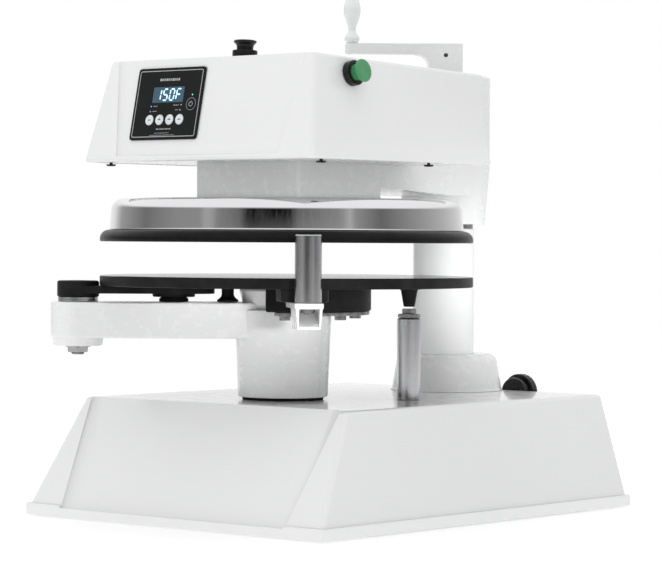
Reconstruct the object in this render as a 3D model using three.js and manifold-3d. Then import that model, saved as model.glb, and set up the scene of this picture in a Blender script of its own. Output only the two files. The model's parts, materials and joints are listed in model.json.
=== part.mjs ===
// A heated, air-operated press for flattening dough balls: a fixed base, a lower platen that swings
// out on a corner pivot, and a head on a round column that holds the heated upper platen.
// Millimetres, +X to the operator's right, +Y to the back, +Z up.
// The origin is on the underside of the base, straight below the centre of the platens.

import * as THREE from 'three';
import { mergeVertices } from 'three/addons/utils/BufferGeometryUtils.js';
import Module from 'manifold-3d';

const wasm = await Module();
wasm.setup();

// ---- clearances ----
const SEAT = 0.3; // between two faces that rest on each other
const RUN = 0.3; // all round a shaft, rod or pin in its hole
const ROUND = 28; // sides of a medium circle
const FINE = 48; // sides of a large circle
const COARSE = 14; // sides of a small circle

// ---- platens ----
const PLATEN_RADIUS = 228.6;
const LOWER_THICK = 12.7;
const UPPER_THICK = 14.3;
const PLATEN_GAP = 41.1; // open height between the platens
const PRESS_STROKE = 36; // travel of the upper platen
const COVER_RADIUS = 217;
const COVER_HEIGHT = 38;
const COVER_SHOULDER = 14;
const COVER_WALL = 2;

// ---- base ----
const BASE_WIDTH = 480;
const BASE_DEPTH = 610;
const BASE_HEIGHT = 142.3;
const BASE_WALL = 4;
const FLANGE_HEIGHT = 14.1;
const FLANGE_LIP = 4.4;
const FLANGE_WALL = 12;
const BASE_FRONT_RUN = 71.4; // how far each wall leans in over the height above the flange
const BASE_SIDE_RUN = 24.9;
const BASE_REAR_RUN = 22.9;
const BASE_EDGE = 6; // rounding of the top edge
const BASE_CORNER = 3; // radius of the upright corners
const BEHIND_COLUMN = 86.5; // base behind the column axis
const BASE_PANEL_DEPTH = 7; // sunk panel in the front face
const BASE_PANEL_COVE = 20;
const BASE_PANEL_BORDER_LOW = 55.6; // plain strip beside the panel, at the flange and at the top
const BASE_PANEL_BORDER_HIGH = 9.7;
const PLATE_THICK = 3;
const CORNER_PLATE = 66; // side of the housing's corner plates, which carry the feet
const FOOT_RADIUS = 20;
const FOOT_HEIGHT = 2;
const FRAME_THICK = 9;

// ---- column ----
const COLUMN_RADIUS = 40;
const COLUMN_CLEAR = 44.4; // between the platen rim and the column
const TUBE_WALL = 1.7;
const SHAFT_BORE = 16;
const COLLAR_LOW_RADIUS = 71.4;
const COLLAR_TOP_RADIUS = 66;
const COLLAR_HEIGHT = 47.7;
const COLLAR_SETBACK = 8;

// ---- support boss and arm ----
const UNDER_PLATEN = 138.7; // from the base top to the underside of the lower platen
const GASKET_THICK = 3.1;
const GASKET_INSET = 5.2; // how far the gasket stands in from the rim of the boss
const GASKET_BORE = 13;
const BOSS_LOW_RADIUS = 55.2;
const BOSS_TOP_RADIUS = 59.3;
const BOSS_SHIFT = { x: -2.8, y: -2.4 }; // the boss flares a little more towards the arm
const BOSS_LEDGE = 28; // ledge of the boss below the platen
const HUB_LOW_RADIUS = 51.7;
const HUB_TOP_RADIUS = 58;
const HUB_CLEAR = 4;
const ARM_CLEAR = 19.6; // from the arm's top to the platen
const ARM_HEIGHT = 43.8;
const ARM_ROOT_RADIUS = 36;
const ARM_END_RADIUS = 33.3;
const ARM_END_DRAFT = 3;
const ARM_END_DROP = 9.7;
const PIVOT_OUTSET = 26; // pivot axis outside the platen rim
const PIVOT_ANGLE = 225;
const PIVOT_PIN_RADIUS = 12;
const PIVOT_THREAD_RADIUS = 8.3;
const PIVOT_WASHER_RADIUS = 24.6;
const BUMPER_RADIUS = 18.5;
const BUMPER_REACH = 138; // outer bumper from the platen centre, along the arm
const CONE_BUMPER_RADIUS = 13.5;
const CONE_BUMPER_NECK = 7.5;
const CONE_BUMPER_REACH = 72;

// ---- parts under the lower platen ----
const TAB_RADIUS = 25.5;
const TAB_ABOVE_PLATEN = 6; // top of the tab above the platen's underside
const TAB_BELOW_PLATEN = 13.5;
const BRACKET_THICK = 9.2;
const BRACKET_INNER_HALF = 34;
const BRACKET_INNER_REACH = 88;
const PAD_RADIUS = 26;
const BLOCK_INNER_RADIUS = 68;
const BLOCK_OUTER_RADIUS = 104;
const BLOCK_HEIGHT = 29.2;
const BLOCK_FROM = -63; // degrees
const BLOCK_TO = 70;
const BLOCK_PLATE_THICK = 4.3;
const BLOCK_PLATE_INSET = 2;
const BLOCK_BOLTS = [-50, -1, 56]; // degrees
const BLOCK_BOLT_REACH = 88;
const BLOCK_BOLT_RADIUS = 4;
const HEX_HEAD_ACROSS = 12.5;
const HEX_HEAD_HEIGHT = 5.2;

// ---- support post ----
const POST_ANGLE = 41;
const POST_REACH = 150.7;
const POST_RADIUS = 15;
const POST_HEIGHT = 100;
const POST_SPIGOT = 6;
const JAM_NUT_ACROSS = 24;
const JAM_NUT_HEIGHT = 5.1;
const POST_BOLT_RADIUS = 5;
const POST_BOLT_HEAD = 6;
const POST_BOLT_ACROSS = 15;
const PLATEN_FOOT_GAP = 2.3; // between the bolt head and the platen's foot
const FOOT_TOP_RADIUS = 10.45;
const FOOT_LOW_RADIUS = 6.85;
const FOOT_PLATE_RADIUS = 16;
const FOOT_PLATE_THICK = 2.7;

// ---- swing handle ----
const HANDLE_ANGLE = -43.3;
const HANDLE_OUTSET = 25.4; // handle axis outside the platen rim
const HANDLE_RADIUS = 15.5;
const HANDLE_LENGTH = 78;
const EAR_INNER = 150;
const EAR_HALF = 28;
const EAR_THICK = 14.8;
const SHELF_THICK = 6.5;
const SHELF_HALF = 16.4;
const SHELF_INNER = 160;
const CHEEK_INNER = 205;
const CHEEK_HEIGHT = 23.4;
const CHEEK_LOW_HALF = 13.5;
const CHEEK_WALL = 3.5;
const CHEEK_POCKET = 36; // depth of the hollow under the handle
const HANDLE_HEAD_ROOM = 6.5; // height of the hollow at its inner end, round the screw head

// ---- head ----
const BOX_HALF = 83;
const BOX_FRONT = -75;
const BOX_REAR = 82;
const BOX_CLEAR = 0.8; // from the cover of the upper platen to the casting
const BOX_WALL = 9;
const BOX_FLOOR = 10;
const BOX_ABOVE_HEAD = 39; // casting inside the cover
const BOX_BELOW_HEAD = 43;
const BEAM_HALF = 56;
const BEAM_FRONT_RISE = 17.5; // underside of the beam above the box bottom, at the box and at the clamp
const BEAM_REAR_RISE = 8;
const CLAMP_DROP = 71.5; // clamp below the head's lower edge
const CLAMP_LOW_RADIUS = 53.4;
const CLAMP_TOP_RADIUS = 59.4;
const CLAMP_TOP = 121; // clamp above the head's lower edge
const CLAMP_WEB = 24;
const TUBE_BELOW_CLAMP = 5.8;
const SHAFT_TOP_CLEAR = 8; // shaft end below the clamp's web
const HEAD_WIDTH = 370;
const HEAD_FRONT = 167;
const HEAD_REAR = 173;
const HEAD_FRONT_HEIGHT = 125;
const HEAD_REAR_HEIGHT = 112;
const HEAD_FRONT_RUN = 26.8;
const HEAD_SIDE_RUN = 21.7;
const HEAD_REAR_SIDE_RUN = 15;
const HEAD_REAR_BOW = 4.5; // hollow of the sides at the rear
const HEAD_CREASE = -35;
const HEAD_WALL = 3;
const HEAD_EDGE = 5;
const HEAD_CORNER = 5;
const HEAD_PANEL_DEPTH = 5;
const HEAD_PANEL_COVE = 16;
const HEAD_PANEL_BORDER_LOW = 54.5;
const HEAD_PANEL_BORDER_HIGH = 12.3;
const HEAD_PANEL_LOW = 7;
const PAN_THICK = 2;
const PAN_RECESS = 0.6;
const REAR_PANEL_THICK = 2;
const PAN_SCREW_RADIUS = 6;
const PAN_SCREW_HEIGHT = 4.2;

// ---- controls ----
const CONTROL_LEFT = -116;
const CONTROL_WIDTH = 110;
const CONTROL_LOW = 27.3; // lower edge of the panel up the front face
const CONTROL_HEIGHT = 89;
const CONTROL_THICK = 2;
const CONTROL_CORNER = 4;
const WINDOW_WIDTH = 51;
const WINDOW_HEIGHT = 19.6;
const WINDOW_U = 54; // window centre across and up the panel
const WINDOW_V = 55.7;
const KEY_RADIUS = 6.5;
const KEY_PITCH = 16.4;
const KEY_V = 24.6;
const POWER_U = 94;
const POWER_V = 43.1;
const KEYPAD_THICK = 2;
const KEY_PROUD = 0.6;
const CONTROLLER_INSET = 6;
const CONTROLLER_DEPTH = 46;
const BUTTON_COLLAR_RADIUS = 15;
const BUTTON_COLLAR_HEIGHT = 9;
const BUTTON_BARREL_RADIUS = 11;
const BUTTON_BARREL_LENGTH = 28;
const BUTTON_CAP_RADIUS = 13.7;
const BUTTON_CAP_HEIGHT = 12;
const BUTTON_STEM_RADIUS = 8;
const BUTTON_STEM_LENGTH = 14;
const BUTTON_TRAVEL = 4;
const SIDE_BUTTON_Y = -80;
const SIDE_BUTTON_UP = 101;
const TOP_BUTTON_X = 30;
const TOP_BUTTON_Y = -112;

// ---- crank ----
const CRANK_ANGLE = 223;
const CRANK_LENGTH = 122;
const CRANK_RAISE = 29; // underside of the arm above the clamp's top
const CRANK_THICK = 14;
const CRANK_HUB_LENGTH = 44;
const CRANK_HUB_WIDTH = 30;
const CRANK_HUB_HEIGHT = 39;
const CRANK_ARM_HALF = 8;
const CRANK_FLARE = 20;
const CRANK_SET_HOLE = 3;
const SCREW_RADIUS = 9;
const SCREW_LENGTH = 220;
const SPINDLE_RADIUS = 3.5;
const GRIP_LENGTH = 68;

// ---- press cylinder ----
const CYLINDER_RADIUS = 58;
const CYLINDER_WALL = 5;
const CYLINDER_HEIGHT = 96;
const PISTON_THICK = 18;
const ROD_RADIUS = 14;
const ROD_FLANGE_RADIUS = 45;
const ROD_FLANGE_THICK = 12;
const GUIDE_REACH = 66;
const GUIDE_RADIUS = 7;
const GUIDE_LENGTH = 92;
const GUIDE_BAR_HALF = 12;
const GUIDE_BAR_THICK = 8;
const HEATER_RADIUS = 200;
const HEATER_THICK = 10;

// ---- air supply and inlet at the back ----
const REGULATOR_X = 49;
const REGULATOR_DROP = 4.8; // regulator axis below the base top
const REGULATOR_RADIUS = 19.5;
const REGULATOR_LENGTH = 12;
const KNOB_RADIUS = 24;
const KNOB_LENGTH = 14;
const NIPPLE_RADIUS = 5;
const NIPPLE_DROP = 22;
const REGULATOR_BLOCK_HALF = 12;
const GLAND_X = -120;
const GLAND_Z = 60;
const GLAND_RADIUS = 11;

// ---- places worked out from the sizes above ----
const COLUMN_Y = PLATEN_RADIUS + COLUMN_CLEAR + COLUMN_RADIUS;
const BASE_BACK = COLUMN_Y + BEHIND_COLUMN;
const BASE_FRONT = BASE_BACK - BASE_DEPTH;
const BASE_SIDE = BASE_WIDTH / 2;
const LOWER_Z = BASE_HEIGHT + UNDER_PLATEN;
const UPPER_Z = LOWER_Z + LOWER_THICK + PLATEN_GAP;
const COVER_Z = UPPER_Z + UPPER_THICK;
const COVER_TOP = COVER_Z + COVER_HEIGHT;
const BOX_Z = COVER_TOP + BOX_CLEAR;
const HEAD_Z = BOX_Z + BOX_BELOW_HEAD;
const CLAMP_Z = HEAD_Z - CLAMP_DROP;
const CLAMP_TOP_Z = HEAD_Z + CLAMP_TOP;
const TUBE_TOP = CLAMP_Z - TUBE_BELOW_CLAMP;
const SHAFT_RADIUS = COLUMN_RADIUS - TUBE_WALL - RUN;
const SHAFT_TOP = CLAMP_TOP_Z - CLAMP_WEB - SHAFT_TOP_CLEAR;
const ARM_TOP = LOWER_Z - ARM_CLEAR;
const ARM_BOTTOM = ARM_TOP - ARM_HEIGHT;
const PIVOT = polar(PLATEN_RADIUS + PIVOT_OUTSET, PIVOT_ANGLE);
const POST = polar(POST_REACH, POST_ANGLE);
const HANDLE_REACH = PLATEN_RADIUS + HANDLE_OUTSET;
const HANDLE = polar(HANDLE_REACH, HANDLE_ANGLE);
const EAR_OUTER = PLATEN_RADIUS - 3;
const SHELF_OUTER = HANDLE_REACH + SHELF_HALF;
const FRAME_TOP = BASE_HEIGHT - BASE_WALL - SEAT;
const FRAME_BOTTOM = FRAME_TOP - FRAME_THICK;

// ---- finishes ----
const FINISH = {
  white: { color: 0xf2f3f3, roughness: 0.25, metalness: 0.0 },
  black: { color: 0x151516, roughness: 0.5, metalness: 0.2 },
  plastic: { color: 0x101011, roughness: 0.4, metalness: 0.0 },
  rubber: { color: 0x1a1a1b, roughness: 0.85, metalness: 0.0 },
  steel: { color: 0x9a9a9c, roughness: 0.32, metalness: 1.0 },
  darkSteel: { color: 0x5a5b5d, roughness: 0.45, metalness: 1.0 },
  chrome: { color: 0xd8d8da, roughness: 0.08, metalness: 1.0 },
  green: { color: 0x2f8f57, roughness: 0.45, metalness: 0.0 },
  keys: { color: 0xededee, roughness: 0.45, metalness: 0.0 },
  glass: { color: 0x164a5a, roughness: 0.1, metalness: 0.0 },
};

const press = new THREE.Group();

// ---- building blocks ----
function polar(reach, degrees) {
  const angle = THREE.MathUtils.degToRad(degrees);
  return { x: reach * Math.cos(angle), y: reach * Math.sin(angle) };
}

// Welds a closed geometry and gives it to the boolean library with its faces pointing out.
function solid(geometry) {
  const bare = geometry.clone();
  for (const name of Object.keys(bare.attributes)) {
    if (name !== 'position') bare.deleteAttribute(name);
  }
  const welded = mergeVertices(bare, 1e-4);
  const points = Float32Array.from(welded.attributes.position.array);
  const faces = [];
  const a = new THREE.Vector3();
  const b = new THREE.Vector3();
  const c = new THREE.Vector3();
  let volume = 0;
  for (let i = 0; i < welded.index.count; i += 3) {
    const [p, q, r] = [0, 1, 2].map((k) => welded.index.getX(i + k));
    if (p === q || q === r || r === p) continue;
    faces.push(p, q, r);
    a.fromArray(points, 3 * p);
    b.fromArray(points, 3 * q);
    c.fromArray(points, 3 * r);
    volume += a.dot(b.cross(c));
  }
  const triVerts = Uint32Array.from(volume < 0 ? faces.reverse() : faces);
  return new wasm.Manifold(new wasm.Mesh({ numProp: 3, vertProperties: points, triVerts }));
}

// Adds a finished solid to the press as a named mesh.
function part(name, body, finish) {
  const mesh = body.getMesh();
  const geometry = new THREE.BufferGeometry();
  geometry.setAttribute('position', new THREE.BufferAttribute(Float32Array.from(mesh.vertProperties), 3));
  geometry.setIndex(new THREE.BufferAttribute(Uint32Array.from(mesh.triVerts), 1));
  geometry.computeVertexNormals();
  const node = new THREE.Mesh(geometry, new THREE.MeshStandardMaterial(FINISH[finish]));
  node.name = name;
  press.add(node);
  return node;
}

function block(x0, x1, y0, y1, z0, z1) {
  const geometry = new THREE.BoxGeometry(x1 - x0, y1 - y0, z1 - z0);
  geometry.translate((x0 + x1) / 2, (y0 + y1) / 2, (z0 + z1) / 2);
  return solid(geometry);
}

// Turns a profile of [radius, height] points about an upright axis at (x, y).
function turned(profile, x = 0, y = 0, sides = ROUND) {
  const geometry = new THREE.LatheGeometry(profile.map(([r, z]) => new THREE.Vector2(r, z)), sides);
  geometry.rotateX(Math.PI / 2);
  geometry.translate(x, y, 0);
  return solid(geometry);
}

function disc(radius, z0, z1, x = 0, y = 0, sides = ROUND) {
  return turned([[0, z0], [radius, z0], [radius, z1], [0, z1]], x, y, sides);
}

function cone(lowRadius, topRadius, z0, z1, x = 0, y = 0, sides = ROUND) {
  return turned([[0, z0], [lowRadius, z0], [topRadius, z1], [0, z1]], x, y, sides);
}

function tube(inner, outer, z0, z1, x = 0, y = 0, sides = ROUND) {
  return turned([[inner, z0], [outer, z0], [outer, z1], [inner, z1], [inner, z0]], x, y, sides);
}

// A flat outline extruded between two heights, turned by an angle and moved to (x, y).
function prism(shape, z0, z1, degrees = 0, x = 0, y = 0) {
  const geometry = new THREE.ExtrudeGeometry(shape, { depth: z1 - z0, bevelEnabled: false, curveSegments: 6 });
  geometry.translate(0, 0, z0);
  geometry.rotateZ(THREE.MathUtils.degToRad(degrees));
  geometry.translate(x, y, 0);
  return solid(geometry);
}

function hexagon(across, z0, z1, x, y) {
  return disc(across / Math.sqrt(3), z0, z1, x, y, 6);
}

function rounded(x0, x1, y0, y1, radius, marks = []) {
  const shape = new THREE.Shape();
  shape.moveTo(x0 + radius, y0);
  shape.absarc(x1 - radius, y0 + radius, radius, -Math.PI / 2, 0, false);
  for (const y of marks) shape.lineTo(x1, y);
  shape.absarc(x1 - radius, y1 - radius, radius, 0, Math.PI / 2, false);
  shape.absarc(x0 + radius, y1 - radius, radius, Math.PI / 2, Math.PI, false);
  for (const y of [...marks].reverse()) shape.lineTo(x0, y);
  shape.absarc(x0 + radius, y0 + radius, radius, Math.PI, 1.5 * Math.PI, false);
  return shape;
}

function rectangle(x0, x1, y0, y1) {
  const shape = new THREE.Shape();
  shape.moveTo(x0, y0);
  shape.lineTo(x1, y0);
  shape.lineTo(x1, y1);
  shape.lineTo(x0, y1);
  shape.closePath();
  return shape;
}

// Two circles of different radius joined by their tangents, along +X.
function link(radius0, radius1, length) {
  const angle = Math.acos((radius0 - radius1) / length);
  const shape = new THREE.Shape();
  shape.absarc(0, 0, radius0, angle, 2 * Math.PI - angle, false);
  shape.absarc(length, 0, radius1, -angle, angle, false);
  return shape;
}

// Part of a ring between two angles in degrees.
function sector(inner, outer, from, to) {
  const [a, b] = [from, to].map(THREE.MathUtils.degToRad);
  const shape = new THREE.Shape();
  shape.absarc(0, 0, outer, a, b, false);
  shape.absarc(0, 0, inner, b, a, true);
  return shape;
}

// A block drawn through sections {z, x0, x1, y0, y1}; fit(point, step) may adjust each corner further.
function drawn(sections, radius, marks = [], fit = null) {
  const first = sections[0];
  const outline = rounded(first.x0, first.x1, first.y0, first.y1, radius, marks);
  const steps = sections.length - 1;
  const geometry = new THREE.ExtrudeGeometry(outline, { depth: steps, steps, bevelEnabled: false, curveSegments: 3 });
  const place = geometry.attributes.position;
  const point = new THREE.Vector3();
  for (let i = 0; i < place.count; i += 1) {
    point.fromBufferAttribute(place, i);
    const step = Math.round(point.z);
    const to = sections[step];
    point.x = THREE.MathUtils.mapLinear(point.x, first.x0, first.x1, to.x0, to.x1);
    point.y = THREE.MathUtils.mapLinear(point.y, first.y0, first.y1, to.y0, to.y1);
    point.z = to.z;
    if (fit) fit(point, to);
    place.setXYZ(i, point.x, point.y, point.z);
  }
  return solid(geometry);
}

// The frame of a leaning front face: x across, y up the slope, z out of it.
function slope(y, z, run, rise) {
  const lean = Math.atan2(run, rise);
  const matrix = new THREE.Matrix4().makeRotationX(Math.PI / 2 - lean);
  return matrix.setPosition(0, y, z);
}

function moved(body, matrix) {
  const m = matrix.elements;
  return body.transform([...m]);
}

// A sunk panel: straight sides above the face, and a cove of the given width down to its floor.
function coved(outline, depth, cove, out) {
  const geometry = new THREE.ExtrudeGeometry(outline, {
    depth: out,
    bevelThickness: depth,
    bevelSize: cove,
    bevelOffset: -cove,
    bevelSegments: 4,
  });
  return solid(geometry);
}

function trapezium(lowHalf, topHalf, low, top) {
  const shape = new THREE.Shape();
  shape.moveTo(-lowHalf, low);
  shape.lineTo(lowHalf, low);
  shape.lineTo(topHalf, top);
  shape.lineTo(-topHalf, top);
  shape.closePath();
  return shape;
}

function along(axis, body, x, y, z) {
  const matrix = new THREE.Matrix4();
  if (axis === 'y') matrix.makeRotationX(-Math.PI / 2);
  if (axis === 'x') matrix.makeRotationY(Math.PI / 2);
  return moved(body, matrix.setPosition(x, y, z));
}

// ---- base ----
const baseFace = slope(BASE_FRONT + FLANGE_LIP, FLANGE_HEIGHT, BASE_FRONT_RUN, BASE_HEIGHT - FLANGE_HEIGHT);
const REAR_SLOPE = BASE_REAR_RUN / (BASE_HEIGHT - FLANGE_HEIGHT);

function rearFaceY(z) {
  return BASE_BACK - FLANGE_LIP - REAR_SLOPE * (z - FLANGE_HEIGHT);
}

// The rear wall leans forward; the gland stands square to it.
function glandPlace() {
  const matrix = new THREE.Matrix4().makeRotationX(-Math.PI / 2 + Math.atan(REAR_SLOPE));
  return matrix.setPosition(GLAND_X, rearFaceY(GLAND_Z), GLAND_Z);
}

// One section of the base body, moved in from the outer skin.
function baseSection(z, skin, frontSkin, edge = 0) {
  const t = (z - FLANGE_HEIGHT) / (BASE_HEIGHT - FLANGE_HEIGHT);
  const inset = FLANGE_LIP + skin + edge;
  return {
    z,
    x0: -BASE_SIDE + inset + BASE_SIDE_RUN * t,
    x1: BASE_SIDE - inset - BASE_SIDE_RUN * t,
    y0: BASE_FRONT + FLANGE_LIP + frontSkin + edge + BASE_FRONT_RUN * t,
    y1: BASE_BACK - inset - BASE_REAR_RUN * t,
  };
}

function baseBody() {
  const sections = [
    baseSection(FLANGE_HEIGHT - 1, 0, 0),
    baseSection(BASE_HEIGHT - BASE_EDGE, 0, 0),
    baseSection(BASE_HEIGHT - 0.3 * BASE_EDGE, 0, 0, 0.3 * BASE_EDGE),
    baseSection(BASE_HEIGHT, 0, 0, BASE_EDGE),
  ];
  return drawn(sections, BASE_CORNER);
}

function baseFlange() {
  const shape = rounded(-BASE_SIDE, BASE_SIDE, BASE_FRONT, BASE_BACK, BASE_CORNER);
  return prism(shape, 0, FLANGE_HEIGHT);
}

function baseHollow() {
  const frontSkin = (BASE_WALL + BASE_PANEL_DEPTH) * 1.2;
  const sections = [
    baseSection(-1, FLANGE_WALL - FLANGE_LIP, FLANGE_WALL + frontSkin),
    baseSection(FLANGE_HEIGHT, FLANGE_WALL - FLANGE_LIP, FLANGE_WALL + frontSkin),
    baseSection(FLANGE_HEIGHT + 8, BASE_WALL, frontSkin),
    baseSection(BASE_HEIGHT - BASE_WALL, BASE_WALL, frontSkin),
  ];
  return drawn(sections, BASE_CORNER - 2);
}

function basePanelCut() {
  const faceLength = Math.hypot(BASE_FRONT_RUN, BASE_HEIGHT - FLANGE_HEIGHT);
  const beyond = 40;
  const lowHalf = BASE_SIDE - FLANGE_LIP - BASE_PANEL_BORDER_LOW;
  const topHalf = BASE_SIDE - FLANGE_LIP - BASE_SIDE_RUN - BASE_PANEL_BORDER_HIGH;
  const grow = (topHalf - lowHalf) / faceLength;
  const low = -4.85;
  const outline = trapezium(lowHalf, topHalf + grow * beyond, low, faceLength + beyond);
  return moved(coved(outline, BASE_PANEL_DEPTH, BASE_PANEL_COVE, 20), baseFace);
}

const PLATE = {
  x0: -BASE_SIDE + FLANGE_WALL + SEAT,
  x1: BASE_SIDE - FLANGE_WALL - SEAT,
  y0: BASE_FRONT + FLANGE_LIP + FLANGE_WALL + (BASE_WALL + BASE_PANEL_DEPTH) * 1.2 + SEAT,
  y1: BASE_BACK - FLANGE_WALL - SEAT,
};
const FEET = [
  ['front_left', PLATE.x0 + 40, PLATE.y0 + 40],
  ['front_right', PLATE.x1 - 40, PLATE.y0 + 40],
  ['rear_left', PLATE.x0 + 40, PLATE.y1 - 40],
  ['rear_right', PLATE.x1 - 40, PLATE.y1 - 40],
];

// The corners of the bottom plate's outline, each as a square that grows by the given amount.
function cornerSquares(grow, reach) {
  const size = CORNER_PLATE + grow;
  return [
    [PLATE.x0 - reach, PLATE.x0 + size, PLATE.y0 - reach, PLATE.y0 + size],
    [PLATE.x1 - size, PLATE.x1 + reach, PLATE.y0 - reach, PLATE.y0 + size],
    [PLATE.x0 - reach, PLATE.x0 + size, PLATE.y1 - size, PLATE.y1 + reach],
    [PLATE.x1 - size, PLATE.x1 + reach, PLATE.y1 - size, PLATE.y1 + reach],
  ];
}

function baseHousing() {
  const nippleZ = BASE_HEIGHT - NIPPLE_DROP;
  const holes = [
    disc(SHAFT_RADIUS + RUN, BASE_HEIGHT - 3 * BASE_WALL, BASE_HEIGHT + 1, 0, COLUMN_Y),
    disc(10, BASE_HEIGHT - 3 * BASE_WALL, BASE_HEIGHT + 1, 0, 0, COARSE),
    disc(POST_SPIGOT + RUN, BASE_HEIGHT - 3 * BASE_WALL, BASE_HEIGHT + 1, POST.x, POST.y, COARSE),
    along('y', disc(NIPPLE_RADIUS + RUN, -20, 20, 0, 0, COARSE), REGULATOR_X, rearFaceY(nippleZ), nippleZ),
    moved(disc(GLAND_RADIUS - 2 + RUN, -20, 20, 0, 0, COARSE), glandPlace()),
  ];
  let body = baseFlange().add(baseBody()).subtract(basePanelCut()).subtract(baseHollow());
  for (const square of cornerSquares(0, FLANGE_WALL / 2)) body = body.add(block(...square, 0, PLATE_THICK));
  for (const [, x, y] of FEET) body = body.subtract(disc(4 + RUN, -1, PLATE_THICK + 1, x, y, COARSE));
  for (const hole of holes) body = body.subtract(hole);
  return body;
}

function basePlate() {
  let body = prism(rounded(PLATE.x0, PLATE.x1, PLATE.y0, PLATE.y1, BASE_CORNER - 2), 0, PLATE_THICK);
  for (const square of cornerSquares(SEAT, 2)) body = body.subtract(block(...square, -1, PLATE_THICK + 1));
  return body;
}

function foot(x, y) {
  const stem = PLATE_THICK - 0.5;
  return turned([
    [0, -FOOT_HEIGHT], [FOOT_RADIUS - 1, -FOOT_HEIGHT], [FOOT_RADIUS, -FOOT_HEIGHT + 0.8],
    [FOOT_RADIUS, -SEAT], [4, -SEAT], [4, stem], [0, stem],
  ], x, y, COARSE);
}

// A steel channel under the top skin that carries the boss, the post and the column.
function innerFrame() {
  const front = Math.max(baseSection(FRAME_TOP, 0, 0).y0 + 30, -80);
  const back = BASE_BACK - FLANGE_LIP - BASE_REAR_RUN - BASE_WALL - 6;
  const half = 140;
  const leg = 5;
  const bottom = PLATE_THICK + SEAT;
  let body = block(-half, half, front, back, FRAME_BOTTOM, FRAME_TOP);
  body = body.add(block(-half, -half + leg, front, back, bottom, FRAME_TOP));
  body = body.add(block(half - leg, half, front, back, bottom, FRAME_TOP));
  body = body.subtract(disc(SHAFT_RADIUS + RUN, FRAME_BOTTOM - 1, FRAME_TOP + 1, 0, COLUMN_Y));
  body = body.subtract(disc(8 + RUN, FRAME_BOTTOM - 1, FRAME_TOP + 1, 0, 0, COARSE));
  return body.subtract(disc(POST_SPIGOT + RUN, FRAME_BOTTOM - 1, FRAME_TOP + 1, POST.x, POST.y, COARSE));
}

part('base_housing', baseHousing(), 'white');
part('base_plate', basePlate(), 'darkSteel');
for (const [corner, x, y] of FEET) part(`foot_${corner}`, foot(x, y), 'rubber');
part('inner_frame', innerFrame(), 'darkSteel');

// ---- column ----
function columnCollar() {
  const low = BASE_HEIGHT + SEAT;
  const top = low + COLLAR_HEIGHT;
  const edge = 12;
  const profile = [[0, low], [COLLAR_LOW_RADIUS + 2, low], [COLLAR_LOW_RADIUS, low + 3]];
  for (let i = 0; i <= 4; i += 1) {
    const angle = (i / 4) * (Math.PI / 2);
    const radius = COLLAR_TOP_RADIUS - edge + edge * Math.cos(angle);
    profile.push([radius, top - edge + edge * Math.sin(angle)]);
  }
  profile.push([0, top]);
  const body = turned(profile, 0, COLUMN_Y + COLLAR_SETBACK, FINE);
  return body.subtract(disc(COLUMN_RADIUS + RUN, low - 1, top + 1, 0, COLUMN_Y, ROUND));
}

// The shaft stands in the inner frame; its closed top is the nut of the lifting screw.
function columnShaft() {
  const capThick = 30;
  const low = FRAME_BOTTOM - 8;
  const profile = [
    [SCREW_RADIUS + RUN, SHAFT_TOP], [SCREW_RADIUS + RUN, SHAFT_TOP - capThick],
    [SHAFT_BORE, SHAFT_TOP - capThick], [SHAFT_BORE, low], [SHAFT_RADIUS, low],
    [SHAFT_RADIUS, SHAFT_TOP - 2], [SHAFT_RADIUS - 2, SHAFT_TOP], [SCREW_RADIUS + RUN, SHAFT_TOP],
  ];
  return turned(profile, 0, COLUMN_Y);
}

part('column_collar', columnCollar(), 'white');
part('column_tube', tube(SHAFT_RADIUS + RUN, COLUMN_RADIUS, BASE_HEIGHT + SEAT, TUBE_TOP, 0, COLUMN_Y), 'white');
part('column_shaft', columnShaft(), 'darkSteel');

// ---- support boss, arm and post ----
const BOSS_Z = BASE_HEIGHT + GASKET_THICK + 2 * SEAT;
const BOSS_BOLT_DEPTH = 46;

function supportArm() {
  const ledge = LOWER_Z - BOSS_LEDGE;
  const endBottom = ARM_BOTTOM - ARM_END_DROP;
  const length = Math.hypot(PIVOT.x, PIVOT.y);
  let body = cone(BOSS_LOW_RADIUS, BOSS_TOP_RADIUS, BOSS_Z, ledge, BOSS_SHIFT.x, BOSS_SHIFT.y, FINE);
  body = body.add(cone(HUB_LOW_RADIUS, HUB_TOP_RADIUS, ledge - 1, LOWER_Z - HUB_CLEAR, 0, 0, FINE));
  body = body.add(prism(link(ARM_ROOT_RADIUS, ARM_END_RADIUS, length), ARM_BOTTOM, ARM_TOP, PIVOT_ANGLE));
  body = body.add(cone(ARM_END_RADIUS - ARM_END_DRAFT, ARM_END_RADIUS, endBottom, ARM_TOP, PIVOT.x, PIVOT.y));
  body = body.subtract(disc(PIVOT_PIN_RADIUS + RUN, endBottom - 1, ARM_TOP + 1, PIVOT.x, PIVOT.y));
  return body.subtract(disc(8 + RUN, BOSS_Z - 1, BOSS_Z + BOSS_BOLT_DEPTH, 0, 0, COARSE));
}

function bossBolt() {
  const top = BOSS_Z + BOSS_BOLT_DEPTH - 2;
  return hexagon(24, FRAME_BOTTOM - 10, FRAME_BOTTOM - SEAT, 0, 0).add(disc(8, FRAME_BOTTOM - 1, top, 0, 0, COARSE));
}

// The outer bumper is a low pad; the inner one narrows to a neck under the platen.
function bumper() {
  const low = ARM_TOP + SEAT;
  const top = LOWER_Z - TAB_BELOW_PLATEN - SEAT;
  const place = polar(BUMPER_REACH, PIVOT_ANGLE);
  const profile = [[0, low], [BUMPER_RADIUS, low], [BUMPER_RADIUS, top - 1.5], [BUMPER_RADIUS - 2, top], [0, top]];
  return turned(profile, place.x, place.y, COARSE);
}

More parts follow.
